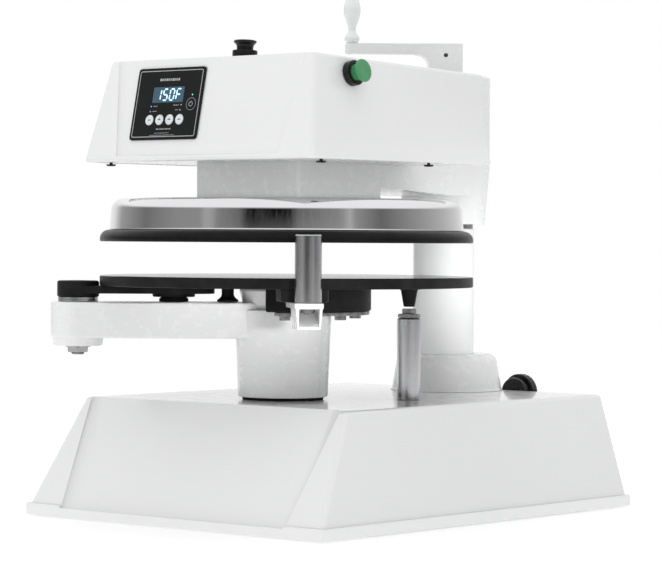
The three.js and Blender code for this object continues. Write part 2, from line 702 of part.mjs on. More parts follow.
function coneBumper() {
  const low = ARM_TOP + SEAT;
  const top = LOWER_Z - SEAT;
  const place = polar(CONE_BUMPER_REACH, PIVOT_ANGLE);
  const profile = [
    [0, low], [CONE_BUMPER_RADIUS, low], [CONE_BUMPER_RADIUS, low + 1.5], [CONE_BUMPER_NECK + 1, low + 6],
    [CONE_BUMPER_NECK, low + 9], [CONE_BUMPER_NECK + 0.5, top - 3], [CONE_BUMPER_NECK + 1, top], [0, top],
  ];
  return turned(profile, place.x, place.y, COARSE);
}

const gasketLow = BASE_HEIGHT + SEAT;
const GASKET_RADIUS = BOSS_LOW_RADIUS - GASKET_INSET;
part('boss_gasket', tube(GASKET_BORE, GASKET_RADIUS, gasketLow, gasketLow + GASKET_THICK, BOSS_SHIFT.x, BOSS_SHIFT.y), 'rubber');
part('support_arm', supportArm(), 'white');
part('boss_bolt', bossBolt(), 'darkSteel');
part('bumper_outer', bumper(), 'rubber');
part('bumper_inner', coneBumper(), 'rubber');

const POST_LOW = BASE_HEIGHT + SEAT;
const POST_TOP = POST_LOW + POST_HEIGHT;
const POST_BOLT_DEPTH = 40;

function supportPost() {
  const low = FRAME_BOTTOM - 10;
  const bottom = POST_TOP - POST_BOLT_DEPTH - 2;
  return turned([
    [0, low], [POST_SPIGOT, low], [POST_SPIGOT, POST_LOW], [POST_RADIUS, POST_LOW],
    [POST_RADIUS, POST_TOP - 1], [POST_RADIUS - 1, POST_TOP], [POST_BOLT_RADIUS + RUN, POST_TOP],
    [POST_BOLT_RADIUS + RUN, bottom], [0, bottom],
  ], POST.x, POST.y, COARSE);
}

const jamNutLow = POST_TOP + SEAT;
const jamNutTop = jamNutLow + JAM_NUT_HEIGHT;
const jamNut = hexagon(JAM_NUT_ACROSS, jamNutLow, jamNutTop, POST.x, POST.y);
const jamHole = disc(POST_BOLT_RADIUS + RUN, POST_TOP, jamNutTop + 1, POST.x, POST.y, COARSE);
const postBoltLow = jamNutTop + SEAT;
const postBoltTop = postBoltLow + POST_BOLT_HEAD;
const postBoltHead = hexagon(POST_BOLT_ACROSS, postBoltLow, postBoltTop, POST.x, POST.y);
const postBoltShank = disc(POST_BOLT_RADIUS, POST_TOP - POST_BOLT_DEPTH, postBoltLow + 1, POST.x, POST.y, COARSE);

part('support_post', supportPost(), 'steel');
part('post_jam_nut', jamNut.subtract(jamHole), 'darkSteel');
part('post_bolt', postBoltHead.add(postBoltShank), 'darkSteel');

// ---- lower platen and what hangs under it ----
const UNDERSIDE = LOWER_Z - SEAT;

function lowerPlaten() {
  const edge = 1.2;
  const disk = turned([
    [0, LOWER_Z], [PLATEN_RADIUS - edge, LOWER_Z], [PLATEN_RADIUS, LOWER_Z + edge],
    [PLATEN_RADIUS, LOWER_Z + LOWER_THICK - edge], [PLATEN_RADIUS - edge, LOWER_Z + LOWER_THICK],
    [0, LOWER_Z + LOWER_THICK],
  ], 0, 0, FINE);
  const ear = rounded(EAR_INNER, EAR_OUTER, -EAR_HALF, EAR_HALF, 6);
  return disk.add(prism(ear, LOWER_Z - EAR_THICK, LOWER_Z + 1, HANDLE_ANGLE));
}

const TAB_LOW = LOWER_Z - TAB_BELOW_PLATEN;

function platenBracket() {
  const reach = Math.hypot(PIVOT.x, PIVOT.y);
  const length = reach - BRACKET_INNER_REACH - BRACKET_INNER_HALF;
  const flat = link(BRACKET_INNER_HALF, TAB_RADIUS, length);
  const inner = polar(BRACKET_INNER_REACH + BRACKET_INNER_HALF, PIVOT_ANGLE);
  const pad = polar(BUMPER_REACH, PIVOT_ANGLE);
  let body = prism(flat, UNDERSIDE - BRACKET_THICK, UNDERSIDE, PIVOT_ANGLE, inner.x, inner.y);
  body = body.add(disc(PAD_RADIUS, TAB_LOW, UNDERSIDE - 1, pad.x, pad.y));
  body = body.add(disc(TAB_RADIUS, TAB_LOW, LOWER_Z + TAB_ABOVE_PLATEN, PIVOT.x, PIVOT.y));
  body = body.subtract(disc(PLATEN_RADIUS + SEAT, UNDERSIDE, LOWER_Z + LOWER_THICK, 0, 0, FINE));
  return body.subtract(disc(PIVOT_PIN_RADIUS + SEAT, TAB_LOW - 1, LOWER_Z + LOWER_THICK, PIVOT.x, PIVOT.y));
}

const PIN_SHOULDER = ARM_BOTTOM - ARM_END_DROP - SEAT;
const NUT_FLANGE = 1.2;
const NUT_HEIGHT = 7.6;

function pivotPin() {
  return turned([
    [0, PIN_SHOULDER - NUT_HEIGHT - 3], [PIVOT_THREAD_RADIUS - 1, PIN_SHOULDER - NUT_HEIGHT - 3],
    [PIVOT_THREAD_RADIUS, PIN_SHOULDER - NUT_HEIGHT - 2], [PIVOT_THREAD_RADIUS, PIN_SHOULDER],
    [PIVOT_PIN_RADIUS, PIN_SHOULDER], [PIVOT_PIN_RADIUS, LOWER_Z + TAB_ABOVE_PLATEN - 1],
    [0, LOWER_Z + TAB_ABOVE_PLATEN - 1],
  ], PIVOT.x, PIVOT.y);
}

function pivotNut() {
  const top = PIN_SHOULDER - SEAT;
  let body = hexagon(24.5, top - NUT_HEIGHT, top - 0.5, PIVOT.x, PIVOT.y);
  body = body.add(disc(15.6, top - NUT_FLANGE, top, PIVOT.x, PIVOT.y, COARSE));
  return body.subtract(disc(PIVOT_THREAD_RADIUS + RUN, top - NUT_HEIGHT - 1, top + 1, PIVOT.x, PIVOT.y, ROUND));
}

const BLOCK_LOW = UNDERSIDE - BLOCK_HEIGHT;
const BLOCK_PLATE_TOP = BLOCK_LOW - SEAT;
const BLOCK_PLATE_LOW = BLOCK_PLATE_TOP - BLOCK_PLATE_THICK;
const BOLT_BITE = 16;

function boltHoles(body, radius, low, high) {
  let cut = body;
  for (const angle of BLOCK_BOLTS) {
    const place = polar(BLOCK_BOLT_REACH, angle);
    cut = cut.subtract(disc(radius, low, high, place.x, place.y, 16));
  }
  return cut;
}

function stopBlock() {
  const shape = sector(BLOCK_INNER_RADIUS, BLOCK_OUTER_RADIUS, BLOCK_FROM, BLOCK_TO);
  return boltHoles(prism(shape, BLOCK_LOW, UNDERSIDE), BLOCK_BOLT_RADIUS + RUN, BLOCK_LOW - 1, BLOCK_LOW + BOLT_BITE);
}

function stopBlockPlate() {
  const inner = BLOCK_INNER_RADIUS + BLOCK_PLATE_INSET;
  const outer = BLOCK_OUTER_RADIUS - BLOCK_PLATE_INSET;
  const shape = sector(inner, outer, BLOCK_FROM + 6, BLOCK_TO - 3);
  const plate = prism(shape, BLOCK_PLATE_LOW, BLOCK_PLATE_TOP);
  return boltHoles(plate, BLOCK_BOLT_RADIUS + RUN, BLOCK_PLATE_LOW - 1, BLOCK_PLATE_TOP + 1);
}

function stopBolt(angle) {
  const place = polar(BLOCK_BOLT_REACH, angle);
  const top = BLOCK_PLATE_LOW - SEAT;
  const head = hexagon(HEX_HEAD_ACROSS, top - HEX_HEAD_HEIGHT, top, place.x, place.y);
  return head.add(disc(BLOCK_BOLT_RADIUS, top - 1, BLOCK_LOW + BOLT_BITE - 2, place.x, place.y, 16));
}

function platenFoot() {
  const low = postBoltTop + PLATEN_FOOT_GAP;
  const plateLow = UNDERSIDE - FOOT_PLATE_THICK;
  return turned([
    [0, low], [FOOT_LOW_RADIUS - 0.6, low], [FOOT_LOW_RADIUS, low + 0.6], [FOOT_TOP_RADIUS, plateLow],
    [FOOT_PLATE_RADIUS, plateLow], [FOOT_PLATE_RADIUS, UNDERSIDE], [0, UNDERSIDE],
  ], POST.x, POST.y, COARSE);
}

part('lower_platen', lowerPlaten(), 'black');
part('platen_bracket', platenBracket(), 'black');
part('pivot_pin', pivotPin(), 'darkSteel');
part('pivot_nut', pivotNut(), 'steel');
part('pivot_washer', tube(
  PIVOT_PIN_RADIUS + RUN, PIVOT_WASHER_RADIUS, ARM_TOP + SEAT, TAB_LOW - SEAT, PIVOT.x, PIVOT.y,
), 'steel');
part('stop_block', stopBlock(), 'black');
part('stop_block_plate', stopBlockPlate(), 'darkSteel');
BLOCK_BOLTS.forEach((angle, i) => part(`stop_bolt_${i + 1}`, stopBolt(angle), 'darkSteel'));
part('platen_foot', platenFoot(), 'rubber');

// ---- swing handle ----
const SHELF_TOP = LOWER_Z - EAR_THICK - SEAT;
const SHELF_LOW = SHELF_TOP - SHELF_THICK;
const HANDLE_SCREW_RADIUS = 4;

// A shelf bolted under the platen's ear, with a tapered hollow below that hides the handle's screw.
// The hollow of the handle bracket is open at its outer face, and its floor rises inwards to the shelf.
function bracketPocket(outer, half, low) {
  const shape = new THREE.Shape();
  shape.moveTo(outer - CHEEK_POCKET, SHELF_LOW);
  shape.lineTo(outer - CHEEK_POCKET, SHELF_LOW - HANDLE_HEAD_ROOM);
  shape.lineTo(outer + 1, low);
  shape.lineTo(outer + 1, SHELF_LOW);
  shape.closePath();
  const geometry = new THREE.ExtrudeGeometry(shape, { depth: 2 * half, bevelEnabled: false });
  return solid(geometry.rotateX(Math.PI / 2).translate(0, half, 0));
}

function handleBracket() {
  const outer = SHELF_OUTER;
  const sections = [
    { z: SHELF_LOW - CHEEK_HEIGHT, x0: CHEEK_INNER + 8, x1: outer - 4, y0: -CHEEK_LOW_HALF, y1: CHEEK_LOW_HALF },
    { z: SHELF_LOW + 1, x0: CHEEK_INNER, x1: outer - 1, y0: -SHELF_HALF + 1, y1: SHELF_HALF - 1 },
  ];
  const turn = new THREE.Matrix4().makeRotationZ(THREE.MathUtils.degToRad(HANDLE_ANGLE));
  const pocketLow = SHELF_LOW - CHEEK_HEIGHT + CHEEK_WALL;
  const pocketHalf = CHEEK_LOW_HALF - CHEEK_WALL;
  let body = prism(rounded(SHELF_INNER, outer, -SHELF_HALF, SHELF_HALF, 2), SHELF_LOW, SHELF_TOP);
  body = body.add(drawn(sections, 1.5));
  body = body.subtract(bracketPocket(outer, pocketHalf, pocketLow));
  body = body.subtract(disc(HANDLE_SCREW_RADIUS + RUN, SHELF_LOW - 1, SHELF_TOP + 1, HANDLE_REACH, 0, 16));
  return moved(body, turn);
}

function platenHandle() {
  const low = SHELF_TOP + SEAT;
  const top = low + HANDLE_LENGTH;
  const hole = 26;
  return turned([
    [0, low + hole], [HANDLE_SCREW_RADIUS + RUN, low + hole], [HANDLE_SCREW_RADIUS + RUN, low],
    [HANDLE_RADIUS, low], [HANDLE_RADIUS, top - 1.5], [HANDLE_RADIUS - 1.5, top], [0, top],
  ], HANDLE.x, HANDLE.y, ROUND);
}

function handleScrew() {
  const headTop = SHELF_LOW - SEAT;
  return turned([
    [0, headTop - 5.5], [6.5, headTop - 5.5], [8, headTop - 3], [8, headTop],
    [HANDLE_SCREW_RADIUS, headTop], [HANDLE_SCREW_RADIUS, SHELF_TOP + 22], [0, SHELF_TOP + 22],
  ], HANDLE.x, HANDLE.y, 16);
}

part('handle_bracket', handleBracket(), 'white');
part('platen_handle', platenHandle(), 'steel');
part('handle_screw', handleScrew(), 'darkSteel');

// ---- upper platen, its cover, rod and guides ----
function upperPlaten() {
  const edge = 7;
  const profile = [[0, UPPER_Z], [PLATEN_RADIUS - 1.2, UPPER_Z], [PLATEN_RADIUS, UPPER_Z + 1.2]];
  for (let i = 0; i <= 4; i += 1) {
    const angle = (i / 4) * (Math.PI / 2);
    const radius = PLATEN_RADIUS - edge + edge * Math.cos(angle);
    profile.push([radius, UPPER_Z + UPPER_THICK - edge + edge * Math.sin(angle)]);
  }
  profile.push([0, UPPER_Z + UPPER_THICK]);
  return turned(profile, 0, 0, FINE);
}

function shoulder(radius, low, top, edge) {
  const profile = [[0, low], [radius, low]];
  for (let i = 0; i <= 5; i += 1) {
    const angle = (i / 5) * (Math.PI / 2);
    profile.push([radius - 2 - edge + edge * Math.cos(angle), top - edge + edge * Math.sin(angle)]);
  }
  profile.push([0, top]);
  return turned(profile, 0, 0, FINE);
}

function platenCover() {
  const low = COVER_Z + SEAT;
  const outer = shoulder(COVER_RADIUS, low, COVER_TOP, COVER_SHOULDER);
  const inner = shoulder(COVER_RADIUS - COVER_WALL, low - 1, COVER_TOP - COVER_WALL, COVER_SHOULDER - COVER_WALL);
  let body = outer.subtract(inner);
  body = body.subtract(disc(ROD_RADIUS + 2, COVER_Z, COVER_TOP + 1, 0, 0, COARSE));
  for (const x of [-GUIDE_REACH, GUIDE_REACH]) {
    body = body.subtract(disc(GUIDE_RADIUS + 1, COVER_Z, COVER_TOP + 1, x, 0, COARSE));
  }
  return body;
}

const HEATER_LOW = COVER_Z + SEAT;
const FLANGE_LOW = HEATER_LOW + HEATER_THICK + SEAT;
const FLOOR_TOP = BOX_Z + BOX_FLOOR;
const CYLINDER_LOW = FLOOR_TOP + SEAT;
const PISTON_LOW = CYLINDER_LOW + PRESS_STROKE + 6;
const GUIDE_BAR_LOW = FLANGE_LOW + ROD_FLANGE_THICK / 2 - GUIDE_BAR_THICK / 2;

function ramRod() {
  const pistonTop = PISTON_LOW + PISTON_THICK;
  const flangeTop = GUIDE_BAR_LOW - SEAT;
  const pistonRadius = CYLINDER_RADIUS - CYLINDER_WALL - RUN;
  return turned([
    [0, FLANGE_LOW], [ROD_FLANGE_RADIUS, FLANGE_LOW], [ROD_FLANGE_RADIUS, flangeTop], [ROD_RADIUS, flangeTop],
    [ROD_RADIUS, PISTON_LOW], [pistonRadius, PISTON_LOW], [pistonRadius, pistonTop], [0, pistonTop],
  ]);
}

// Two rods joined by a bar that is bolted on the rod's flange; they keep the platen from turning.
function guideYoke() {
  const reach = GUIDE_REACH + GUIDE_RADIUS + 4;
  const bar = rounded(-reach, reach, -GUIDE_BAR_HALF, GUIDE_BAR_HALF, 6);
  let body = prism(bar, GUIDE_BAR_LOW, GUIDE_BAR_LOW + GUIDE_BAR_THICK);
  body = body.subtract(disc(ROD_RADIUS + SEAT, FLANGE_LOW, COVER_TOP, 0, 0, ROUND));
  const join = GUIDE_BAR_HALF + 8;
  body = body.add(tube(ROD_RADIUS + SEAT, join, GUIDE_BAR_LOW, GUIDE_BAR_LOW + GUIDE_BAR_THICK));
  for (const x of [-GUIDE_REACH, GUIDE_REACH]) {
    body = body.add(disc(GUIDE_RADIUS, GUIDE_BAR_LOW + 1, GUIDE_BAR_LOW + GUIDE_LENGTH, x, 0, COARSE));
  }
  return body;
}

part('upper_platen', upperPlaten(), 'black');
part('platen_cover', platenCover(), 'chrome');
part('heater_disc', disc(HEATER_RADIUS, HEATER_LOW, HEATER_LOW + HEATER_THICK, 0, 0, FINE), 'darkSteel');
part('ram_rod', ramRod(), 'steel');
part('guide_yoke', guideYoke(), 'steel');

// ---- head casting ----
const BOX_TOP = HEAD_Z + BOX_ABOVE_HEAD;

function beamProfile() {
  const shape = new THREE.Shape();
  shape.moveTo(BOX_REAR - 1, BOX_Z + BEAM_FRONT_RISE);
  shape.lineTo(COLUMN_Y - CLAMP_LOW_RADIUS, BOX_Z + BEAM_REAR_RISE);
  shape.lineTo(COLUMN_Y, BOX_Z + BEAM_REAR_RISE);
  shape.lineTo(COLUMN_Y, BOX_TOP);
  shape.lineTo(BOX_REAR - 1, BOX_TOP);
  shape.closePath();
  return shape;
}

// Extrudes an outline drawn in Y and Z across X.
function across(shape, x0, x1) {
  const geometry = new THREE.ExtrudeGeometry(shape, { depth: x1 - x0, bevelEnabled: false });
  const turn = new THREE.Matrix4().set(0, 0, 1, x0, 1, 0, 0, 0, 0, 1, 0, 0, 0, 0, 0, 1);
  return solid(geometry.applyMatrix4(turn));
}

function headCasting() {
  const pocketFloor = BOX_Z + BEAM_FRONT_RISE + BOX_FLOOR;
  const pocketBack = COLUMN_Y - CLAMP_TOP_RADIUS - BOX_WALL;
  const innerHalf = BOX_HALF - BOX_WALL;
  const clamp = turned([
    [0, CLAMP_Z], [CLAMP_LOW_RADIUS, CLAMP_Z], [CLAMP_TOP_RADIUS, HEAD_Z], [CLAMP_TOP_RADIUS, CLAMP_TOP_Z - 3],
    [CLAMP_TOP_RADIUS - 3, CLAMP_TOP_Z], [0, CLAMP_TOP_Z],
  ], 0, COLUMN_Y, FINE);
  let body = prism(rounded(-BOX_HALF, BOX_HALF, BOX_FRONT, BOX_REAR, 4), BOX_Z, BOX_TOP);
  body = body.add(across(beamProfile(), -BEAM_HALF, BEAM_HALF)).add(clamp);
  body = body.subtract(block(-innerHalf, innerHalf, BOX_FRONT + BOX_WALL, BOX_REAR - BOX_WALL, FLOOR_TOP, BOX_TOP + 1));
  body = body.subtract(block(-BEAM_HALF + BOX_WALL, BEAM_HALF - BOX_WALL, BOX_REAR, pocketBack, pocketFloor, BOX_TOP + 1));
  body = body.subtract(disc(SHAFT_RADIUS + RUN, CLAMP_Z - 1, CLAMP_TOP_Z - CLAMP_WEB, 0, COLUMN_Y));
  body = body.subtract(disc(SCREW_RADIUS + RUN, CLAMP_Z, CLAMP_TOP_Z + 1, 0, COLUMN_Y, COARSE));
  body = body.subtract(disc(ROD_RADIUS + RUN, BOX_Z - 1, FLOOR_TOP + 1));
  for (const x of [-GUIDE_REACH, GUIDE_REACH]) {
    body = body.subtract(disc(GUIDE_RADIUS + RUN, BOX_Z - 1, FLOOR_TOP + 1, x, 0, COARSE));
  }
  return body;
}

function airCylinder() {
  const inner = CYLINDER_RADIUS - CYLINDER_WALL;
  const top = CYLINDER_LOW + CYLINDER_HEIGHT;
  return turned([
    [inner, CYLINDER_LOW], [CYLINDER_RADIUS, CYLINDER_LOW], [CYLINDER_RADIUS, top], [0, top],
    [0, top - 10], [inner, top - 10], [inner, CYLINDER_LOW],
  ]);
}

part('head_casting', headCasting(), 'white');
part('air_cylinder', airCylinder(), 'steel');

// ---- head cover ----
const HEAD_SIDE = HEAD_WIDTH / 2;
const headFace = slope(-HEAD_FRONT, HEAD_Z, HEAD_FRONT_RUN, HEAD_FRONT_HEIGHT);
const HEAD_FACE_LENGTH = Math.hypot(HEAD_FRONT_RUN, HEAD_FRONT_HEIGHT);
const SIDE_LEAN = Math.atan2(HEAD_SIDE_RUN, HEAD_FRONT_HEIGHT);

// The sides lean less behind the crease and are hollow there; the top falls towards the back.
function headSkin(skin, frontSkin, low, rearExtra) {
  const levels = [low, 0.5, 1 - HEAD_EDGE / HEAD_FRONT_HEIGHT, 1];
  const sections = levels.map((level, i) => ({
    level,
    edge: i === 3 ? HEAD_EDGE : 0,
    z: level,
    x0: -HEAD_SIDE,
    x1: HEAD_SIDE,
    y0: -HEAD_FRONT + frontSkin + level * HEAD_FRONT_RUN + (i === 3 ? HEAD_EDGE : 0),
    y1: HEAD_REAR + rearExtra,
  }));
  return drawn(sections, HEAD_CORNER, [HEAD_CREASE], (point, to) => {
    const t = to.level;
    const back = THREE.MathUtils.clamp((point.y - HEAD_CREASE) / (HEAD_REAR - HEAD_CREASE), 0, 1);
    const run = THREE.MathUtils.lerp(HEAD_SIDE_RUN, HEAD_REAR_SIDE_RUN, back) * t;
    const bow = 4 * t * (1 - t) * HEAD_REAR_BOW * back;
    const width = (HEAD_SIDE - skin - run - bow - to.edge) / HEAD_SIDE;
    const rise = (point.y + HEAD_FRONT) / (HEAD_REAR + HEAD_FRONT);
    const height = THREE.MathUtils.lerp(HEAD_FRONT_HEIGHT, HEAD_REAR_HEIGHT, rise) - skin;
    point.x *= width;
    point.z = HEAD_Z + to.level * height;
  });
}

function headPanelCut() {
  const beyond = 30;
  const lowHalf = HEAD_SIDE - HEAD_PANEL_BORDER_LOW;
  const topHalf = HEAD_SIDE - HEAD_SIDE_RUN - HEAD_PANEL_BORDER_HIGH;
  const grow = (topHalf - lowHalf) / HEAD_FACE_LENGTH;
  const outline = trapezium(lowHalf, topHalf + grow * beyond, HEAD_PANEL_LOW, HEAD_FACE_LENGTH + beyond);
  return moved(coved(outline, HEAD_PANEL_DEPTH, HEAD_PANEL_COVE, 20), headFace);
}

function sideButtonPlace() {
  const x = HEAD_SIDE - (HEAD_SIDE_RUN * SIDE_BUTTON_UP) / HEAD_FRONT_HEIGHT;
  const matrix = new THREE.Matrix4().makeRotationY(Math.PI / 2 - SIDE_LEAN);
  return matrix.setPosition(x, SIDE_BUTTON_Y, HEAD_Z + SIDE_BUTTON_UP);
}

function topButtonPlace() {
  const rise = (TOP_BUTTON_Y + HEAD_FRONT) / (HEAD_REAR + HEAD_FRONT);
  const height = THREE.MathUtils.lerp(HEAD_FRONT_HEIGHT, HEAD_REAR_HEIGHT, rise);
  const fall = Math.atan2(HEAD_FRONT_HEIGHT - HEAD_REAR_HEIGHT, HEAD_REAR + HEAD_FRONT);
  const matrix = new THREE.Matrix4().makeRotationX(-fall);
  return matrix.setPosition(TOP_BUTTON_X, TOP_BUTTON_Y, HEAD_Z + height);
}

const sideButton = sideButtonPlace();
const topButton = topButtonPlace();

function headCover() {
  const frontSkin = (HEAD_WALL + HEAD_PANEL_DEPTH) * 1.1;
  let body = headSkin(0, 0, 0, 0).subtract(headPanelCut());
  body = body.subtract(headSkin(HEAD_WALL, frontSkin, -0.1, 5));
  const inset = CONTROLLER_INSET - 1;
  const port = rectangle(
    CONTROL_LEFT + inset, CONTROL_LEFT + CONTROL_WIDTH - inset, CONTROL_LOW + inset, CONTROL_LOW + CONTROL_HEIGHT - inset,
  );
  body = body.subtract(moved(prism(port, -HEAD_PANEL_DEPTH - 20, 5), headFace));
  const barrelHole = disc(BUTTON_BARREL_RADIUS + RUN, -20, 20, 0, 0, COARSE);
  body = body.subtract(moved(barrelHole, sideButton)).subtract(moved(barrelHole, topButton));
  return body;
}

const PAN_Z = HEAD_Z + PAN_RECESS;
const PAN_SCREWS = [[-171, -133], [168, -133], [-171, 67], [168, 67]];
const PAN_SIDE = HEAD_SIDE - HEAD_WALL - SEAT - 1.5;
const PAN_FRONT = -HEAD_FRONT + (HEAD_WALL + HEAD_PANEL_DEPTH) * 1.1 + SEAT + 1.5;

// The bottom pan closes the cover round the casting.
function headPan() {
  const shape = rounded(-PAN_SIDE, PAN_SIDE, PAN_FRONT, HEAD_REAR - 6, 8);
  const gap = 0.6;
  let body = prism(shape, PAN_Z, PAN_Z + PAN_THICK);
  body = body.subtract(block(-BOX_HALF - gap, BOX_HALF + gap, BOX_FRONT - gap, BOX_REAR + gap, PAN_Z - 1, PAN_Z + 5));
  body = body.subtract(block(-BEAM_HALF - gap, BEAM_HALF + gap, BOX_REAR, HEAD_REAR + 1, PAN_Z - 1, PAN_Z + 5));
  for (const [x, y] of PAN_SCREWS) {
    body = body.subtract(disc(2 + RUN, PAN_Z - 1, PAN_Z + 5, x * (HEAD_WIDTH / 370), y, 12));
  }
  return body;
}

function panScrew(x, y) {
  const top = PAN_Z - SEAT;
  const low = top - PAN_SCREW_HEIGHT;
  return turned([
    [0, low], [PAN_SCREW_RADIUS - 0.8, low], [PAN_SCREW_RADIUS, low + 0.8], [PAN_SCREW_RADIUS, top],
    [2, top], [2, top + PAN_THICK + 4], [0, top + PAN_THICK + 4],
  ], x, y, 12);
}

// The rear panel stands just inside the open back of the cover, over the beam.
function headRearPanel() {
  const back = HEAD_REAR - 2;
  const front = back - REAR_PANEL_THICK;
  const low = PAN_Z + PAN_THICK + SEAT;
  const inside = headSkin(HEAD_WALL + SEAT, 20, -0.1, 5);
  const slab = block(-HEAD_SIDE, HEAD_SIDE, front, back, low, HEAD_Z + HEAD_FRONT_HEIGHT);
  const beam = block(-BEAM_HALF - 0.6, BEAM_HALF + 0.6, front - 5, back + 5, low - 5, BOX_TOP + 0.6);
  return inside.intersect(slab).subtract(beam);
}

part('head_cover', headCover(), 'white');
part('head_bottom_pan', headPan(), 'white');
part('head_rear_panel', headRearPanel(), 'white');
PAN_SCREWS.forEach(([x, y], i) => part(`pan_screw_${i + 1}`, panScrew(x * (HEAD_WIDTH / 370), y), 'plastic'));

// ---- control panel, drawn flat on the floor of the sunk panel ----
const PANEL_FLOOR = -HEAD_PANEL_DEPTH + SEAT;
const keyCentres = [-1.5, -0.5, 0.5, 1.5].map((i) => [WINDOW_U - 1 + i * KEY_PITCH, KEY_V]);
const allKeys = [...keyCentres, [POWER_U, POWER_V]];

function onPanel(u, v) {
  return [CONTROL_LEFT + u, CONTROL_LOW + v];
}

function controlPanel() {
  const [x0, y0] = onPanel(0, 0);
  const [x1, y1] = onPanel(CONTROL_WIDTH, CONTROL_HEIGHT);
  const [wx, wy] = onPanel(WINDOW_U, WINDOW_V);
  const w = WINDOW_WIDTH / 2 + RUN;
  const h = WINDOW_HEIGHT / 2 + RUN;
  const top = PANEL_FLOOR + CONTROL_THICK;
  let body = prism(rounded(x0, x1, y0, y1, CONTROL_CORNER), PANEL_FLOOR, top);
  body = body.subtract(block(wx - w, wx + w, wy - h, wy + h, PANEL_FLOOR - 1, top + 1));
  for (const key of allKeys) {
    const [x, y] = onPanel(...key);
    body = body.subtract(disc(KEY_RADIUS + RUN, PANEL_FLOOR - 1, top + 1, x, y, COARSE));
  }
  return moved(body, headFace);
}

const MAT_TOP = PANEL_FLOOR - SEAT;
const MAT_LOW = MAT_TOP - KEYPAD_THICK;

function displayWindow() {
  const [x, y] = onPanel(WINDOW_U, WINDOW_V);
  const w = WINDOW_WIDTH / 2;
  const h = WINDOW_HEIGHT / 2;
  return moved(block(x - w, x + w, y - h, y + h, MAT_LOW, PANEL_FLOOR + CONTROL_THICK - 0.6), headFace);
}

// One rubber mat whose five domes stand through the panel.
function keypad() {
  const [x0, y0] = onPanel(WINDOW_U - 2.2 * KEY_PITCH, KEY_V - KEY_RADIUS - 2);
  const [x1, y1] = onPanel(POWER_U + KEY_RADIUS + 2, WINDOW_V - WINDOW_HEIGHT / 2 - 1);
  const top = PANEL_FLOOR + CONTROL_THICK + KEY_PROUD;
  const [px, py] = onPanel(POWER_U, POWER_V);
  let body = block(x0, x1, y0, y1, MAT_LOW, MAT_TOP);
  body = body.add(block(px - KEY_RADIUS - 2, x1, y1 - 1, py + KEY_RADIUS + 2, MAT_LOW, MAT_TOP));
  for (const key of allKeys) {
    const [x, y] = onPanel(...key);
    const dome = [[0, MAT_LOW + 1], [KEY_RADIUS, MAT_LOW + 1], [KEY_RADIUS, top - 0.4], [KEY_RADIUS - 0.5, top], [0, top]];
    body = body.add(turned(dome, x, y, COARSE));
  }
  return moved(body, headFace);
}

function controllerBox() {
  const [x0, y0] = onPanel(CONTROLLER_INSET, CONTROLLER_INSET);
  const [x1, y1] = onPanel(CONTROL_WIDTH - CONTROLLER_INSET, CONTROL_HEIGHT - CONTROLLER_INSET);
  const top = MAT_LOW - SEAT;
  return moved(block(x0, x1, y0, y1, top - CONTROLLER_DEPTH, top), headFace);
}

part('control_panel', controlPanel(), 'plastic');
part('display_window', displayWindow(), 'glass');
part('keypad', keypad(), 'keys');
part('controller_box', controllerBox(), 'plastic');

// ---- the two start buttons ----
function buttonCollar() {
  const low = SEAT;
  return turned([
    [BUTTON_STEM_RADIUS + RUN, -BUTTON_BARREL_LENGTH], [BUTTON_BARREL_RADIUS, -BUTTON_BARREL_LENGTH],
    [BUTTON_BARREL_RADIUS, low], [BUTTON_COLLAR_RADIUS, low], [BUTTON_COLLAR_RADIUS, BUTTON_COLLAR_HEIGHT - 1],
    [BUTTON_COLLAR_RADIUS - 1, BUTTON_COLLAR_HEIGHT], [BUTTON_STEM_RADIUS + RUN, BUTTON_COLLAR_HEIGHT],
    [BUTTON_STEM_RADIUS + RUN, -BUTTON_BARREL_LENGTH],
  ], 0, 0, COARSE);
}

// The head of the cap stays above its collar by more than its travel.
function buttonCap() {
  const low = BUTTON_COLLAR_HEIGHT - BUTTON_STEM_LENGTH;
  const under = BUTTON_COLLAR_HEIGHT + BUTTON_TRAVEL + 0.8;
  const top = BUTTON_COLLAR_HEIGHT + BUTTON_CAP_HEIGHT;
  return turned([
    [0, low], [BUTTON_STEM_RADIUS, low], [BUTTON_STEM_RADIUS, under], [BUTTON_CAP_RADIUS - 1, top - 3.5], [BUTTON_CAP_RADIUS, top - 2],
    [BUTTON_CAP_RADIUS - 0.8, top - 0.4], [BUTTON_CAP_RADIUS - 2, top], [0, top],
  ], 0, 0, COARSE);
}

part('side_button_collar', moved(buttonCollar(), sideButton), 'plastic');
part('side_button', moved(buttonCap(), sideButton), 'green');
part('top_button_collar', moved(buttonCollar(), topButton), 'plastic');
part('top_button', moved(buttonCap(), topButton), 'plastic');

// ---- height crank ----
const CRANK_LOW = CLAMP_TOP_Z + CRANK_RAISE;
const CRANK_TOP = CRANK_LOW + CRANK_THICK;
const HUB_LOW = CRANK_TOP - CRANK_HUB_HEIGHT;

function crankProfile() {
  const shape = new THREE.Shape();
  const hub = CRANK_HUB_LENGTH / 2;
  shape.moveTo(-hub, HUB_LOW);
  shape.lineTo(hub, HUB_LOW);
  shape.lineTo(hub, CRANK_LOW - 10);
  shape.lineTo(hub + CRANK_FLARE, CRANK_LOW);
  shape.lineTo(CRANK_LENGTH, CRANK_LOW);
  shape.lineTo(CRANK_LENGTH, CRANK_TOP);
  shape.lineTo(-hub, CRANK_TOP);
  shape.closePath();
  return shape;
}

